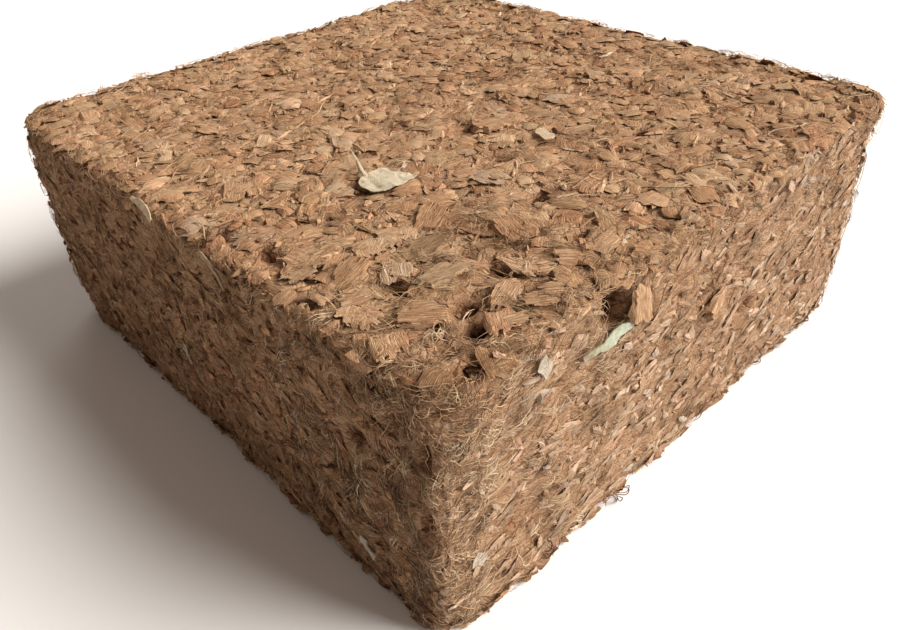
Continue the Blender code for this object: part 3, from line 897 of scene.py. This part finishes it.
# Each side's shade and its spread, how far its pieces turn from level, and their husk
for index, (face, shade, spread, turn, skin_of) in enumerate(
    (
        ("front", 0.55, 0.08, 0.40, rubbed_husk),
        ("right", 0.54, 0.09, 0.45, rubbed_husk),
        ("back", 0.54, 0.09, 0.45, rubbed_husk),
        # The left side faces away from the lamp: its lower shade is partly painted shade, partly
        # darker husk
        ("left", 0.39, 0.09, 0.85, husk),
    )
):
    rng = np.random.default_rng(101 + index)
    lay_pieces(
        f"{face}_slivers", face, slivers, SLIVER_PITCH, (0.0000, 0.0005), 0.06, turn,
        (shade, spread), (0.45, 1.15), rng, skin_of, 0.008,
    )
    lay_pieces(
        f"{face}_stubs", face, stubs, STUB_PITCH, (0.0000, 0.0005), 0.07, 9.0,
        (shade, spread), (0.5, 1.3), rng, skin_of, 0.006,
    )

# ---- Crumbs of pith
# Loose grains of pith, half a millimetre to two across. They broke off the husk as it was
# chopped, and the press caught them between the chips on every face.
CRUMB_RADIUS = 0.0009
CRUMB_PITCH = 0.0150
crumb_material = husk_material("pith crumbs", lines=0.10)
grains = []
for seed in (3, 4, 5, 6):
    bpy.ops.mesh.primitive_ico_sphere_add(subdivisions=1, radius=CRUMB_RADIUS)
    grain = bpy.context.object
    bpy.ops.object.mode_set(mode="EDIT")
    bpy.ops.mesh.select_all(action="SELECT")
    bpy.ops.transform.vertex_random(offset=0.0005, seed=seed)
    bpy.ops.transform.resize(value=(1.3, 1.0, 0.75))
    bpy.ops.object.mode_set(mode="OBJECT")
    grains.append(pattern_of(grain))
rng = np.random.default_rng(201)
found = [spots_on(face, CRUMB_PITCH, rng, 0.5) for face in FACES]
spots, out = (np.concatenate(each) for each in zip(*found))
number = len(spots)
level, _ = pith_level(spots, out)
lift, _ = pressed_down(spots, level + rng.uniform(-0.0002, 0.0012, number), 0.002)
axes = turned_any_way(out, 0.3, rng)
strew(
    "pith_crumbs", grains, rng.integers(0, len(grains), number), spots + out * lift[:, None], axes,
    rng.uniform(0.5, 1.5, (number, 1)) * rng.uniform(0.8, 1.2, (number, 3)),
    np.clip(rng.normal(0.46, 0.12, number), 0, 1), crumb_material,
)

# ---- Fibres
# Coir: the hair of the husk, a tenth to half a millimetre thick, golden to brown and curly. It
# lies between the chips on every face in locks of a few strands, and springs out along the rims
# and most of all along the upright edge that stands nearest.
FIBRE_SIDES = 3
# The thickness of a fibre's tip against its middle, and the share of the fibres that may cross
# a hole
FIBRE_TIP = 0.28
ACROSS_HOLES = 0.05


def lay_fibres(
    name, starts, headings, length, radius, sway, curl, lifts, points, shade, tints, seed, material
):
    """Strands that run over the skin from their starts. sway is four numbers that shape each
    strand's curve, and lifts how far it stands out at its start, its highest and its end."""
    rng = np.random.default_rng(seed)
    number = len(starts)
    share = np.linspace(0, 1, points)[None]
    step = length[:, None] / (points - 1)
    heading = curl[:, None] * (
        sway[:, :1] * share
        + 0.8 * sway[:, 1:2] * np.sin(share * math.pi * 1.6 + sway[:, 2:3] * 3)
        + 0.18 * sway[:, 3:4] * np.sin(share * math.pi * 4.4)
    )
    _, out = skin(starts)
    level = length_one(headings - out * (headings * out).sum(1)[:, None])
    beside = np.cross(out, level)
    run = np.cumsum(np.cos(heading) * step, 1) - np.cos(heading[:, :1]) * step
    drift = np.cumsum(np.sin(heading) * step, 1) - np.sin(heading[:, :1]) * step
    line = starts[:, None] + level[:, None] * run[..., None] + beside[:, None] * drift[..., None]
    rise = np.sin(share * math.pi) ** 0.8
    height = lifts[:, :1] * (1 - share) + lifts[:, 2:] * share + lifts[:, 1:2] * rise
    flat, way = onto_skin(line.reshape(-1, 3), height.ravel())
    flat[:, 2] = np.maximum(flat[:, 2], GROUND + radius.max())
    line, way = flat.reshape(number, points, 3), way.reshape(number, points, 3)
    clear = ~in_a_hole(flat, 0.0005).reshape(number, points).any(1)
    clear |= rng.uniform(0, 1, number) < ACROSS_HOLES
    line, way, radius, length, shade = (each[clear] for each in (line, way, radius, length, shade))
    number = len(line)
    ahead = length_one(np.gradient(line, axis=1))
    aside = length_one(np.cross(way, ahead))
    upward = np.cross(ahead, aside)
    taper = FIBRE_TIP + (1 - FIBRE_TIP) * np.sin(share * math.pi) ** 0.45
    thick = (radius[:, None] * taper)[..., None, None]
    angle = np.arange(FIBRE_SIDES) * math.tau / FIBRE_SIDES
    ring = (
        aside[:, :, None] * np.cos(angle)[None, None, :, None]
        + upward[:, :, None] * np.sin(angle)[None, None, :, None]
    )
    co = line[:, :, None] + ring * thick
    per = points * FIBRE_SIDES
    k, s = (grid.ravel() for grid in np.meshgrid(np.arange(points - 1), np.arange(FIBRE_SIDES)))
    here, after = k * FIBRE_SIDES, (s + 1) % FIBRE_SIDES
    there = here + FIBRE_SIDES
    quads = np.stack([here + s, here + after, there + after, there + s], 1)
    caps = np.stack([np.arange(FIBRE_SIDES)[::-1], np.arange(FIBRE_SIDES) + per - FIBRE_SIDES])
    corner = np.concatenate([quads.ravel(), caps.ravel()])
    total = np.concatenate([np.full(len(quads), 4), np.full(2, FIBRE_SIDES)])
    ends = np.repeat([0, points - 1], FIBRE_SIDES)
    along = np.concatenate([np.stack([k, k, k + 1, k + 1], 1).ravel(), ends])
    round_it = np.concatenate([np.stack([s, s + 1, s + 1, s], 1).ravel(), [2, 1, 0, 0, 1, 2]])
    unit = np.stack([along / (points - 1), round_it / FIBRE_SIDES], 1)
    cells = math.ceil(math.sqrt(number))
    cell = np.stack([np.arange(number) % cells, np.arange(number) // cells], 1)[:, None]
    slide = rng.uniform(0, 1, (number, 1, 2))
    grain = unit[None] * np.stack([length, radius * 6], 1)[:, None] + slide
    parts = {
        "co": co.reshape(-1, 3),
        "vertex": (corner[None] + per * np.arange(number)[:, None]).ravel(),
        "total": np.tile(total, number),
        "grain": grain.reshape(-1, 2),
        "picture": ((0.06 + 0.88 * unit[None] + cell) / cells).reshape(-1, 2),
        "shade": np.repeat(shade, per),
        "tint": np.repeat(rng.uniform(*tints, number), per),
    }
    made = joined(name, parts, material)
    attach(made, "root")


def lay_locks(
    name, starts, headings, strands, length, thickness, curl, peak, points, shade, rng,
    tints=(0.1, 0.9), material=None,
):
    """Locks of a few strands that share a curve and splay a little."""
    lock = np.repeat(np.arange(len(starts)), rng.integers(1, 2 * strands, len(starts)))
    number = len(lock)
    common = rng.normal(0, 1, (len(starts), 4))
    reach = rng.uniform(*length, len(starts))
    height = rng.uniform(*peak, len(starts))
    tone = rng.normal(shade[0], shade[1] * 0.65, len(starts))
    lay_fibres(
        name,
        starts[lock] + rng.normal(0, 0.0014, (number, 3)),
        headings[lock] + rng.normal(0, 0.20, (number, 3)),
        reach[lock] * rng.uniform(0.55, 1.15, number),
        rng.uniform(*thickness, number) / 2,
        common[lock] + rng.normal(0, 0.25, (number, 4)),
        rng.uniform(*curl, len(starts))[lock],
        np.stack(
            [
                rng.uniform(-0.0016, -0.0002, number),
                height[lock] + rng.normal(0, 0.0003, number),
                rng.uniform(-0.0014, 0.0006, number),
            ],
            1,
        ),
        points,
        np.clip(tone[lock] + rng.normal(0, shade[1] * 0.75, number), 0.02, 1),
        tints,
        int(rng.integers(1, 9999)),
        material or fibre_husk,
    )


def scattered(face, number, rng):
    """Random places on one face's skin."""
    a, u, _ = face_axes(face)
    run, rise = face_size(face)
    across = rng.uniform(-0.5, 0.5, (number, 1)) * run * a
    up = rng.uniform(-0.5, 0.5, (number, 1)) * rise * u
    return onto_skin(face_point(face, 0, 0) + across + up)[0]


# Colours of bare fibre, from its dark side to its lightest strands
FIBRE_COLOURS = (
    (0.00, (0.036, 0.017, 0.010)),
    (0.30, (0.200, 0.110, 0.060)),
    (0.60, (0.430, 0.282, 0.170)),
    (0.85, (0.580, 0.432, 0.285)),
    (1.00, (0.680, 0.570, 0.420)),
)
FIBRE_FINISH = {"lines": 0.12, "speckle": 0.15, "depth": 0.00005}
fibre_husk = husk_material("bare fibre", FIBRE_COLOURS, **FIBRE_FINISH)
# Near the closest corner the sides have weathered, and their fibres are greyer
weathered_fibre = husk_material(
    "weathered fibre",
    [(place, (r * 0.97, g * 1.02, b * 1.10)) for place, (r, g, b) in FIBRE_COLOURS],
    **FIBRE_FINISH,
)
# Each face's locks, the strands in them, its single strands, their shade, and how far they turn
# from level
for index, (face, locks, strands, singles, shade, turn) in enumerate(
    (
        ("top", 520, 6, 200, 0.58, 9.0),
        ("front", 400, 5, 110, 0.56, 0.45),
        # The left side faces away from the lamp: its lower shade is partly painted shade, partly
        # darker fibre
        ("left", 520, 6, 170, 0.44, 1.30),
        ("right", 210, 5, 60, 0.54, 0.60),
        ("back", 210, 5, 60, 0.54, 0.60),
        ("under", 90, 4, 20, 0.50, 9.0),
    )
):
    rng = np.random.default_rng(301 + index)
    a, u, _ = face_axes(face)
    peak = (0.0004, 0.0014) if face != "under" else (-0.0012, -0.0006)
    for title, number, many, length, thickness, curl, points in (
        ("locks", locks, strands, (0.006, 0.014), (0.00010, 0.00022), (0.1, 0.8), 4),
        ("strands", singles, 1, (0.014, 0.038), (0.00018, 0.00042), (0.6, 1.6), 10),
    ):
        turns = rng.normal(0, turn, number) + math.pi * rng.integers(0, 2, number)
        lay_locks(
            f"{face}_{title}", scattered(face, number, rng),
            np.cos(turns)[:, None] * a + np.sin(turns)[:, None] * u, many, length, thickness,
            curl, peak, points, (shade, 0.15), rng,
            (0.0, 0.5) if face == "front" else (0.1, 0.9),
        )

# Where the skin is roughest, round the nearest corner: face, the zone's low and high ends, how
# many locks, their shade and its spread, and their fibre
for index, (face, low, high, locks, shade, fibre) in enumerate(
    (
        ("top", (-0.149, -0.153), (-0.060, -0.085), 210, (0.52, 0.20), fibre_husk),
        # On the left side, which faces away from the lamp, the lower shade is partly painted shade
        ("left", (0.070, -0.045), (0.153, 0.058), 220, (0.42, 0.28), weathered_fibre),
        ("front", (-0.149, -0.050), (-0.060, 0.050), 90, (0.52, 0.20), weathered_fibre),
    )
):
    rng = np.random.default_rng(331 + index)
    a, u, _ = face_axes(face)
    across, up = (rng.uniform(low[k], high[k], (locks, 1)) for k in (0, 1))
    starts, _ = onto_skin(face_point(face, 0, 0) + across * a + up * u)
    if face == "front":
        turns = rng.normal(0.3, 0.4, (locks, 1))
    else:
        turns = rng.uniform(0, math.tau, (locks, 1))
    lay_locks(
        f"{face}_near_locks", starts, np.cos(turns) * a + np.sin(turns) * u, 7, (0.006, 0.016),
        (0.00012, 0.00027), (0.1, 1.0), (0.0004, 0.0018), 5, shade, rng, (0.1, 0.7), fibre,
    )

# Locks along the rims of the top and the foot: height, locks on each side, strands, and how far
# they stand out
rng = np.random.default_rng(351)
for title, height, locks, strands, peak in (
    ("top_rim", BALE.z - 0.0025, 95, 5, (0.0002, 0.0018)),
    ("ground_rim", 0.004, 45, 4, (-0.0003, 0.0008)),
):
    starts, headings = [], []
    for face in SIDES:
        a, u, _ = face_axes(face)
        across = rng.uniform(-0.5, 0.5, (locks, 1)) * face_size(face)[0]
        rise = height - BALE.z / 2 + rng.normal(0, 0.0022, (locks, 1))
        starts.append(face_point(face, 0, 0) + across * a + rise * u)
        turns = rng.uniform(0, math.tau, (locks, 1))
        headings.append(np.cos(turns) * a + np.sin(turns) * 0.8 * u)
    starts, _ = onto_skin(np.concatenate(starts))
    lay_locks(
        f"{title}_locks", starts, np.concatenate(headings), strands, (0.007, 0.017),
        (0.00011, 0.00024), (0.2, 1.0), peak, 5, (0.54, 0.18), rng,
    )

# Locks on the upright edges: the side that each edge is on, its locks, strands and fibre
for title, sx, sy, locks, strands, fibre in (
    ("near", -1, -1, 230, 7, weathered_fibre),
    ("right", 1, -1, 40, 5, fibre_husk),
    ("far", 1, 1, 40, 5, fibre_husk),
    ("left", -1, 1, 40, 5, fibre_husk),
):
    starts = np.column_stack(
        [
            sx * (BALE.x / 2 - rng.uniform(0, 0.020, locks)),
            sy * (BALE.y / 2 - rng.uniform(0, 0.020, locks)),
            rng.uniform(0.004, 0.117, locks),
        ]
    )
    starts, _ = onto_skin(starts)
    turns = rng.uniform(0, math.tau, locks)
    headings = np.column_stack([np.cos(turns) * -sy, np.cos(turns) * sx, np.sin(turns)])
    lay_locks(
        f"upright_edge_{title}_locks", starts, headings, strands, (0.004, 0.012),
        (0.00011, 0.00024), (0.2, 1.4), (0.0002, 0.0018), 5, (0.49, 0.25), rng, (0.1, 0.7), fibre,
    )

# Curls of straw over the broken corner that stands nearest: how many locks, and how far away
CORNER_LOCKS = 95
CORNER_REACH = 0.026
starts = NEAREST_CORNER + np.abs(rng.normal(0, CORNER_REACH / 2, (CORNER_LOCKS, 3))) * (1, 1, -1)
lay_locks(
    "corner_locks", onto_skin(starts)[0], rng.normal(0, 1, (CORNER_LOCKS, 3)), 6, (0.006, 0.016),
    (0.00014, 0.00030), (0.6, 2.2), (0.0005, 0.0024), 7, (0.51, 0.19), rng, (0.3, 0.7),
)

# The same curls down the edge below that corner
EDGE_LOCKS = 120
rng = np.random.default_rng(371)
starts = np.column_stack(
    [
        NEAREST_CORNER[:2] + np.abs(rng.normal(0, 0.006, (EDGE_LOCKS, 2))),
        rng.uniform(0.006, 0.108, EDGE_LOCKS),
    ]
)
lay_locks(
    "edge_curls", onto_skin(starts)[0], rng.normal(0, 1, (EDGE_LOCKS, 3)), 5, (0.006, 0.014),
    (0.00013, 0.00028), (0.6, 2.2), (0.0004, 0.0020), 6, (0.48, 0.20), rng, (0.3, 0.7),
)

# Loops that hang out of the foot of the lit side: their places along it, and their height
STRAY_LOOPS = np.array((-0.133, -0.098, -0.056, 0.006, 0.057, 0.098))
LOOP_HEIGHT = 0.006
starts = np.array([(along, -BALE.y / 2, LOOP_HEIGHT) for along in STRAY_LOOPS])
lay_locks(
    "stray_loops", starts, np.tile((1.0, 0.0, 0.25), (len(starts), 1)), 3, (0.009, 0.015),
    (0.00040, 0.00065), (0.9, 1.8), (0.0018, 0.0042), 12, (0.16, 0.08), rng,
)

# ---- Loose chips
# A dozen of the largest flakes stand a little proud of the rest, so that one could pick them
# off. They are the same torn husk, with its ridges and splintered ends.
CHIP_THICKNESS = 0.0016
# How far the chips are sunk, how closely a loose piece follows the skin's curve, and the shade
# and tint of the chips that stand out by their colour
CHIP_SINK = 0.0019
FOLLOWED_SKIN = 0.85
CHIP_SHADES = {
    "husk_chip_04": (0.44, 0.55),
    "husk_chip_05": (0.46, 0.70),
    "husk_chip_08": (0.58, 0.85),
    "husk_chip_11": (0.60, 0.60),
}


def set_down(node, obj, face, spot, turn, proud, material, slot, shade=0.5, tint=0.5):
    """Lays a modelled piece on its face of the bale, in place of its node."""
    a, u, o = face_axes(face)
    c, s = math.cos(math.radians(turn)), math.sin(math.radians(turn))
    pattern = pattern_of(obj)
    co = pattern["co"]
    flat = face_point(face, *spot) + co[:, :1] * (a * c + u * s) + co[:, 1:2] * (u * c - a * s)
    gap, out = skin(flat)
    placed = flat - out * gap[:, None] * FOLLOWED_SKIN + (co[:, 2:] + proud) * o
    parts = dict(pattern, co=placed)
    parts["shade"], parts["tint"] = np.full(len(co), shade), np.full(len(co), tint)
    piece = joined(f"loose_{node}", parts, material)
    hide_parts(node)
    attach(piece, "root")


for index, (node, face, spot, (length, width), turn, proud) in enumerate(LOOSE_CHIPS):
    size = Vector((length, width, CHIP_THICKNESS))
    chip = model_flake(node, 500 + index, (9, 12), size, tear=0.0024, ridge=0.00014, bend=0.16)
    rng = np.random.default_rng(600 + index)
    own = CHIP_SHADES.get(node, (rng.uniform(0.50, 0.66), rng.uniform(0.2, 0.8)))
    set_down(node, chip, face, spot, turn, proud - CHIP_SINK, splintered, "husk_chip", *own)

# ---- Dry leaf
# A small cream leaf, blown on to the bale and dried with its stalk: thin, wavy, with a point at
# one end and brown marks. The stalk is bent and pokes out behind.
LEAF_OUTLINE = (
    (10.2, -1.8), (8.2, 0.9), (5.6, 3.2), (6.6, 7.6), (3.6, 8.6), (-1.0, 8.0), (-5.6, 7.4),
    (-9.8, 5.4), (-11.4, 0.8), (-10.8, -4.4), (-6.6, -7.6), (-2.0, -8.4), (3.0, -8.0),
    (11.8, -5.7),
)
STALK = (
    (-5.6, 7.4, 0.0), (-3.6, 11.8, 1.2), (-0.6, 17.4, 1.9), (3.2, 24.6, 2.2), (7.8, 33.6, 0.8),
)
STALK_RADIUS = 0.0011
STALK_TAPER = 0.86
# Colours of the leaf, from its brown marks to its palest parts
LEAF_COLOURS = (
    (0.42, (0.195, 0.123, 0.064)),
    (0.62, (0.312, 0.236, 0.140)),
    (0.84, (0.440, 0.366, 0.246)),
    (1.00, (0.508, 0.442, 0.318)),
)


def cut_out(name, outline, thickness, rounding, wave, wave_size):
    """A thin piece with the outline, in millimetres: a disc whose corners are drawn to their
    places, rounded, divided, waved and given its thickness."""
    bpy.ops.object.select_all(action="DESELECT")
    bpy.ops.mesh.primitive_circle_add(vertices=len(outline), radius=0.01, fill_type="NGON")
    shape = bpy.context.object
    shape.name = name
    bpy.ops.object.mode_set(mode="EDIT")
    bpy.ops.mesh.select_mode(type="VERT")
    for index, corner in enumerate(outline):
        bpy.ops.mesh.select_all(action="DESELECT")
        mesh = bmesh.from_edit_mesh(shape.data)
        mesh.verts.ensure_lookup_table()
        mesh.verts[index].select = True
        mesh.select_flush(True)
        bmesh.update_edit_mesh(shape.data)
        way = Vector((*corner, 0)) / 1000 - mesh.verts[index].co
        bpy.ops.transform.translate(value=way)
    bpy.ops.mesh.select_all(action="SELECT")
    bpy.ops.mesh.bevel(offset=rounding, segments=3, affect="VERTICES")
    bpy.ops.mesh.select_all(action="SELECT")
    bpy.ops.mesh.quads_convert_to_tris()
    bpy.ops.mesh.subdivide(number_cuts=3)
    bpy.ops.mesh.normals_make_consistent(inside=False)
    mesh = bmesh.from_edit_mesh(shape.data)
    if sum(face.normal.z for face in mesh.faces) < 0:
        bpy.ops.mesh.flip_normals()
    bpy.ops.object.mode_set(mode="OBJECT")
    swell = bpy.data.textures.new(name, "CLOUDS")
    swell.noise_scale = wave_size
    curled = shape.modifiers.new("waves", "DISPLACE")
    curled.texture, curled.strength, curled.mid_level = swell, wave, 0.5
    curled.direction, curled.texture_coords = "Z", "LOCAL"
    wall = shape.modifiers.new("thickness", "SOLIDIFY")
    wall.thickness, wall.offset = thickness, -1.0
    apply_all(shape)
    return shape


leaf_skin = new_material("dry leaf")
grain, place = grain_and_place(leaf_skin)
apart = node_of(leaf_skin, "ShaderNodeSeparateXYZ", {"Vector": grain})
across = sum_of(leaf_skin, (apart.outputs[1], 1.0), (apart.outputs[0], 0.10))
from_rib = maths(leaf_skin, "ABSOLUTE", across)
slant = sum_of(leaf_skin, (apart.outputs[0], 1.0), (from_rib, -0.75))
vein_wave = maths(leaf_skin, "SINE", sum_of(leaf_skin, (slant, 2100.0)))
veins = faded(leaf_skin, vein_wave, 0.86, 1.0)
rib = faded(leaf_skin, from_rib, 0.0008, 0.0002)
marks = noise_of(leaf_skin, place, 420.0, 4.0, 0.65)
paper = noise_of(leaf_skin, place, 1600.0, 3.0)
shade = sum_of(leaf_skin, (marks, 1.5), (paper, 0.45), (veins, -0.02), (rib, -0.04))
height = sum_of(leaf_skin, (veins, 0.25), (rib, 0.5), (paper, 0.6))
finish_material(leaf_skin, colours_of(leaf_skin, shade, LEAF_COLOURS), height, 0.0002, 0.70)

leaf = cut_out("leaf blade", LEAF_OUTLINE, 0.0004, 0.0009, 0.0030, 0.006)
bpy.ops.object.select_all(action="DESELECT")
bpy.ops.mesh.primitive_cylinder_add(
    vertices=8, radius=STALK_RADIUS, depth=0.0006, end_fill_type="NGON"
)
stalk = bpy.context.object
bpy.ops.object.mode_set(mode="EDIT")
bpy.ops.mesh.select_all(action="SELECT")
bpy.ops.transform.resize(value=(1.0, 1.0, 0.4))
start = Vector(STALK[0]) / 1000 + Vector((0.0009, -0.0009, 0.0001))
bpy.ops.transform.translate(value=start)
bpy.ops.mesh.select_mode(type="FACE")
for index, corner in enumerate(STALK[1:]):
    bpy.ops.mesh.select_all(action="DESELECT")
    mesh = bmesh.from_edit_mesh(stalk.data)
    if index == 0:
        tip = max(mesh.faces, key=lambda face: face.normal.z)
    else:
        tip = max(mesh.faces, key=lambda face: face.calc_center_median().y + face.normal.y)
    tip.select = True
    bmesh.update_edit_mesh(stalk.data)
    target = Vector(corner) / 1000
    way = target - tip.calc_center_median()
    facing = tip.normal.copy()
    bpy.ops.mesh.extrude_region_move(TRANSFORM_OT_translate={"value": way})
    turn = facing.rotation_difference(way.normalized())
    mesh = bmesh.from_edit_mesh(stalk.data)
    ring = [vert for vert in mesh.verts if vert.select]
    bmesh.ops.rotate(mesh, cent=target, matrix=turn.to_matrix(), verts=ring)
    bmesh.ops.scale(
        mesh, vec=(STALK_TAPER,) * 3, verts=ring, space=Matrix.Translation(-target)
    )
    bmesh.update_edit_mesh(stalk.data)
bpy.ops.mesh.select_all(action="SELECT")
bpy.ops.mesh.normals_make_consistent(inside=False)
bpy.ops.object.mode_set(mode="OBJECT")
bent = stalk.modifiers.new("smooth", "SUBSURF")
bent.levels = bent.render_levels = 1
apply_all(stalk)
leaf.select_set(True)
stalk.select_set(True)
bpy.context.view_layer.objects.active = leaf
bpy.ops.object.join()
set_down("dry_leaf", leaf, "top", LEAF_PLACE, 0, 0.0014, leaf_skin, "dry_leaf")

# ---- Green scrap and pale scraps
# Bits of the husk's outer skin, which dries smooth and pale: cream, grey, white, and one still
# green. They are thin and lie pressed into the faces and over the rim.
SCRAP_OUTLINES = {
    "green_husk_scrap": (
        (0.46, 0.30), (0.26, 0.50), (0.02, 0.46), (-0.12, 0.16), (-0.34, 0.22), (-0.50, 0.10),
        (-0.46, -0.22), (-0.20, -0.20), (-0.02, -0.46), (0.14, -0.50), (0.24, -0.16),
        (0.50, -0.10),
    ),
    "cream_husk_strip": (
        (0.50, -0.15), (0.36, 0.34), (0.08, 0.60), (-0.22, 0.52), (-0.50, 0.16), (-0.50, -0.40),
        (-0.25, -0.24), (0.05, -0.20), (0.28, -0.42), (0.44, -0.74),
    ),
    "tan_husk_strip": (
        (0.50, -0.24), (0.34, 0.42), (0.05, 0.70), (-0.25, 0.60), (-0.50, 0.20), (-0.48, -0.34),
        (-0.20, -0.16), (0.08, -0.12), (0.30, -0.40), (0.45, -0.76),
    ),
    "white_husk_sliver": (
        (0.50, -0.1), (0.30, 0.50), (-0.1, 0.2), (-0.30, 0.50), (-0.50, 0.1), (-0.20, -0.5),
        (0.2, -0.3),
    ),
    "pale_side_scrap": (
        (0.50, 0.3), (0.1, 0.15), (-0.45, 0.5), (-0.5, 0.1), (-0.15, -0.05), (-0.35, -0.5),
        (0.0, -0.3), (0.45, 0.05),
    ),
}
PLAIN_SCRAP = (
    (0.50, 0.15), (0.28, 0.46), (-0.12, 0.42), (-0.46, 0.50), (-0.50, -0.12), (-0.38, -0.48),
    (0.10, -0.40), (0.46, -0.50),
)


# Colours of each skin, from its stains to its palest parts
SKIN_COLOURS = {
    "green": (
        (0.12, (0.200, 0.150, 0.090)), (0.38, (0.300, 0.290, 0.195)),
        (0.62, (0.380, 0.425, 0.320)), (0.90, (0.480, 0.550, 0.440)),
    ),
    "cream": (
        (0.12, (0.340, 0.215, 0.120)), (0.38, (0.500, 0.370, 0.235)),
        (0.65, (0.620, 0.490, 0.345)), (0.92, (0.700, 0.590, 0.450)),
    ),
    "tan": (
        (0.12, (0.130, 0.075, 0.042)), (0.38, (0.250, 0.160, 0.092)),
        (0.65, (0.350, 0.240, 0.148)), (0.92, (0.440, 0.325, 0.215)),
    ),
    "grey": (
        (0.12, (0.210, 0.145, 0.095)), (0.38, (0.330, 0.270, 0.200)),
        (0.65, (0.430, 0.380, 0.305)), (0.92, (0.530, 0.495, 0.425)),
    ),
}
# The skins of the scraps that aren't grey, and how much greener the green one is at one end
SCRAP_SKINS = {
    "green_husk_scrap": "green",
    "cream_husk_strip": "cream",
    "tan_husk_strip": "tan",
    "beige_top_scrap": "cream",
}
GREEN_FADE = 19.0


def skin_material(name, stops, fade):
    """Smooth dry outer skin: faint lines along it and brown dust in its hollows."""
    made = new_material(name)
    grain, place = grain_and_place(made)
    lines = noise_of(made, stretched(made, grain, 110.0, 1400.0, 1.0), 1.0, 3.0)
    stains = noise_of(made, place, 380.0, 4.0, 0.7)
    dust = noise_of(made, place, 1700.0, 3.0)
    ahead = node_of(made, "ShaderNodeSeparateXYZ", {"Vector": grain}).outputs[0]
    value = sum_of(made, (lines, 0.55), (stains, 1.10), (dust, 0.35), (ahead, fade))
    colour = colours_of(made, maths(made, "SUBTRACT", value, 0.5), stops)
    finish_material(made, colour, sum_of(made, (lines, 0.8), (dust, 0.4)), 0.0003, 0.65)
    return made


skins = {
    colour: skin_material(f"{colour} husk skin", stops, GREEN_FADE if colour == "green" else 0.0)
    for colour, stops in SKIN_COLOURS.items()
}
for node, face, spot, (length, width), turn, proud in PALE_SCRAPS:
    shape = SCRAP_OUTLINES.get(node, PLAIN_SCRAP)
    outline = [(x * length * 1000, y * width * 1000) for x, y in shape]
    scrap = cut_out(node, outline, 0.0005, min(length, width) * 0.06, 0.0011, 0.004)
    slot = "green_husk" if node == "green_husk_scrap" else "cream_husk"
    set_down(node, scrap, face, spot, turn, proud, skins[SCRAP_SKINS.get(node, "grey")], slot)

# ---- Studio
# A plain pale floor, one soft lamp from the right, a weak one from behind and a dim room. The
# camera looks over the nearest corner from a little above it.
FLOOR_SIZE = 8.0
FLOOR_COLOUR = (0.87, 0.86, 0.85, 1)
# Lamps: the way to each, its strength and its width in degrees
LAMPS = (("key", (0.52, -0.62, 0.58), 6.1, 40), ("back", (0.60, 0.70, 0.40), 0.6, 40))
LAMP_COLOUR = (1.0, 0.96, 0.915)
ROOM_COLOUR = (1.0, 0.82, 0.70, 1)
ROOM_STRENGTH = 0.23
BACKDROP_COLOUR = (0.90, 0.91, 0.92, 1)
# The camera, fitted to the bale's outline: its place, the way ahead and to the right, and the
# lens and film in millimetres
CAMERA_PLACE = (-0.2458, -0.2691, 0.258)
CAMERA_AHEAD = (0.5411, 0.5957, -0.5936)
CAMERA_RIGHT = (0.7198, -0.6931, -0.0395)
LENS_LENGTH = 31.17
FILM_WIDTH = 36.0

bpy.ops.object.select_all(action="DESELECT")
bpy.ops.mesh.primitive_plane_add(size=FLOOR_SIZE, location=(0, 0, 0))
floor = bpy.context.object
floor.name = "floor"
floor_paint = new_material("pale floor")
paint = floor_paint.node_tree.nodes["Principled BSDF"].inputs
paint["Base Color"].default_value = FLOOR_COLOUR
paint["Roughness"].default_value = 0.9
floor.data.materials.append(floor_paint)

for title, towards, strength, width in LAMPS:
    light = bpy.data.lights.new(title, "SUN")
    light.energy = strength
    light.angle = math.radians(width)
    light.color = LAMP_COLOUR
    lamp = bpy.data.objects.new(title, light)
    lamp.rotation_euler = Vector(towards).to_track_quat("Z", "Y").to_euler()
    bpy.context.scene.collection.objects.link(lamp)
world = bpy.data.worlds.new("room")
world.use_nodes = True
room = world.node_tree.nodes["Background"]
room.inputs["Color"].default_value = ROOM_COLOUR
room.inputs["Strength"].default_value = ROOM_STRENGTH
backdrop = world.node_tree.nodes.new("ShaderNodeBackground")
backdrop.inputs["Color"].default_value = BACKDROP_COLOUR
seen = world.node_tree.nodes.new("ShaderNodeLightPath")
either = world.node_tree.nodes.new("ShaderNodeMixShader")
link = world.node_tree.links.new
link(seen.outputs["Is Camera Ray"], either.inputs[0])
link(room.outputs[0], either.inputs[1])
link(backdrop.outputs[0], either.inputs[2])
link(either.outputs[0], world.node_tree.nodes["World Output"].inputs["Surface"])
bpy.context.scene.world = world
bpy.context.scene.view_settings.view_transform = "Standard"

forward = Vector(CAMERA_AHEAD).normalized()
to_right = Vector(CAMERA_RIGHT)
to_right = (to_right - forward * to_right.dot(forward)).normalized()
lens = bpy.data.cameras.new("camera")
lens.sensor_width = FILM_WIDTH
lens.lens = LENS_LENGTH
camera = bpy.data.objects.new("camera", lens)
facing = Matrix((to_right, to_right.cross(forward), -forward)).transposed().to_4x4()
camera.matrix_world = Matrix.Translation(CAMERA_PLACE) @ facing
bpy.context.scene.collection.objects.link(camera)
bpy.context.scene.camera = camera
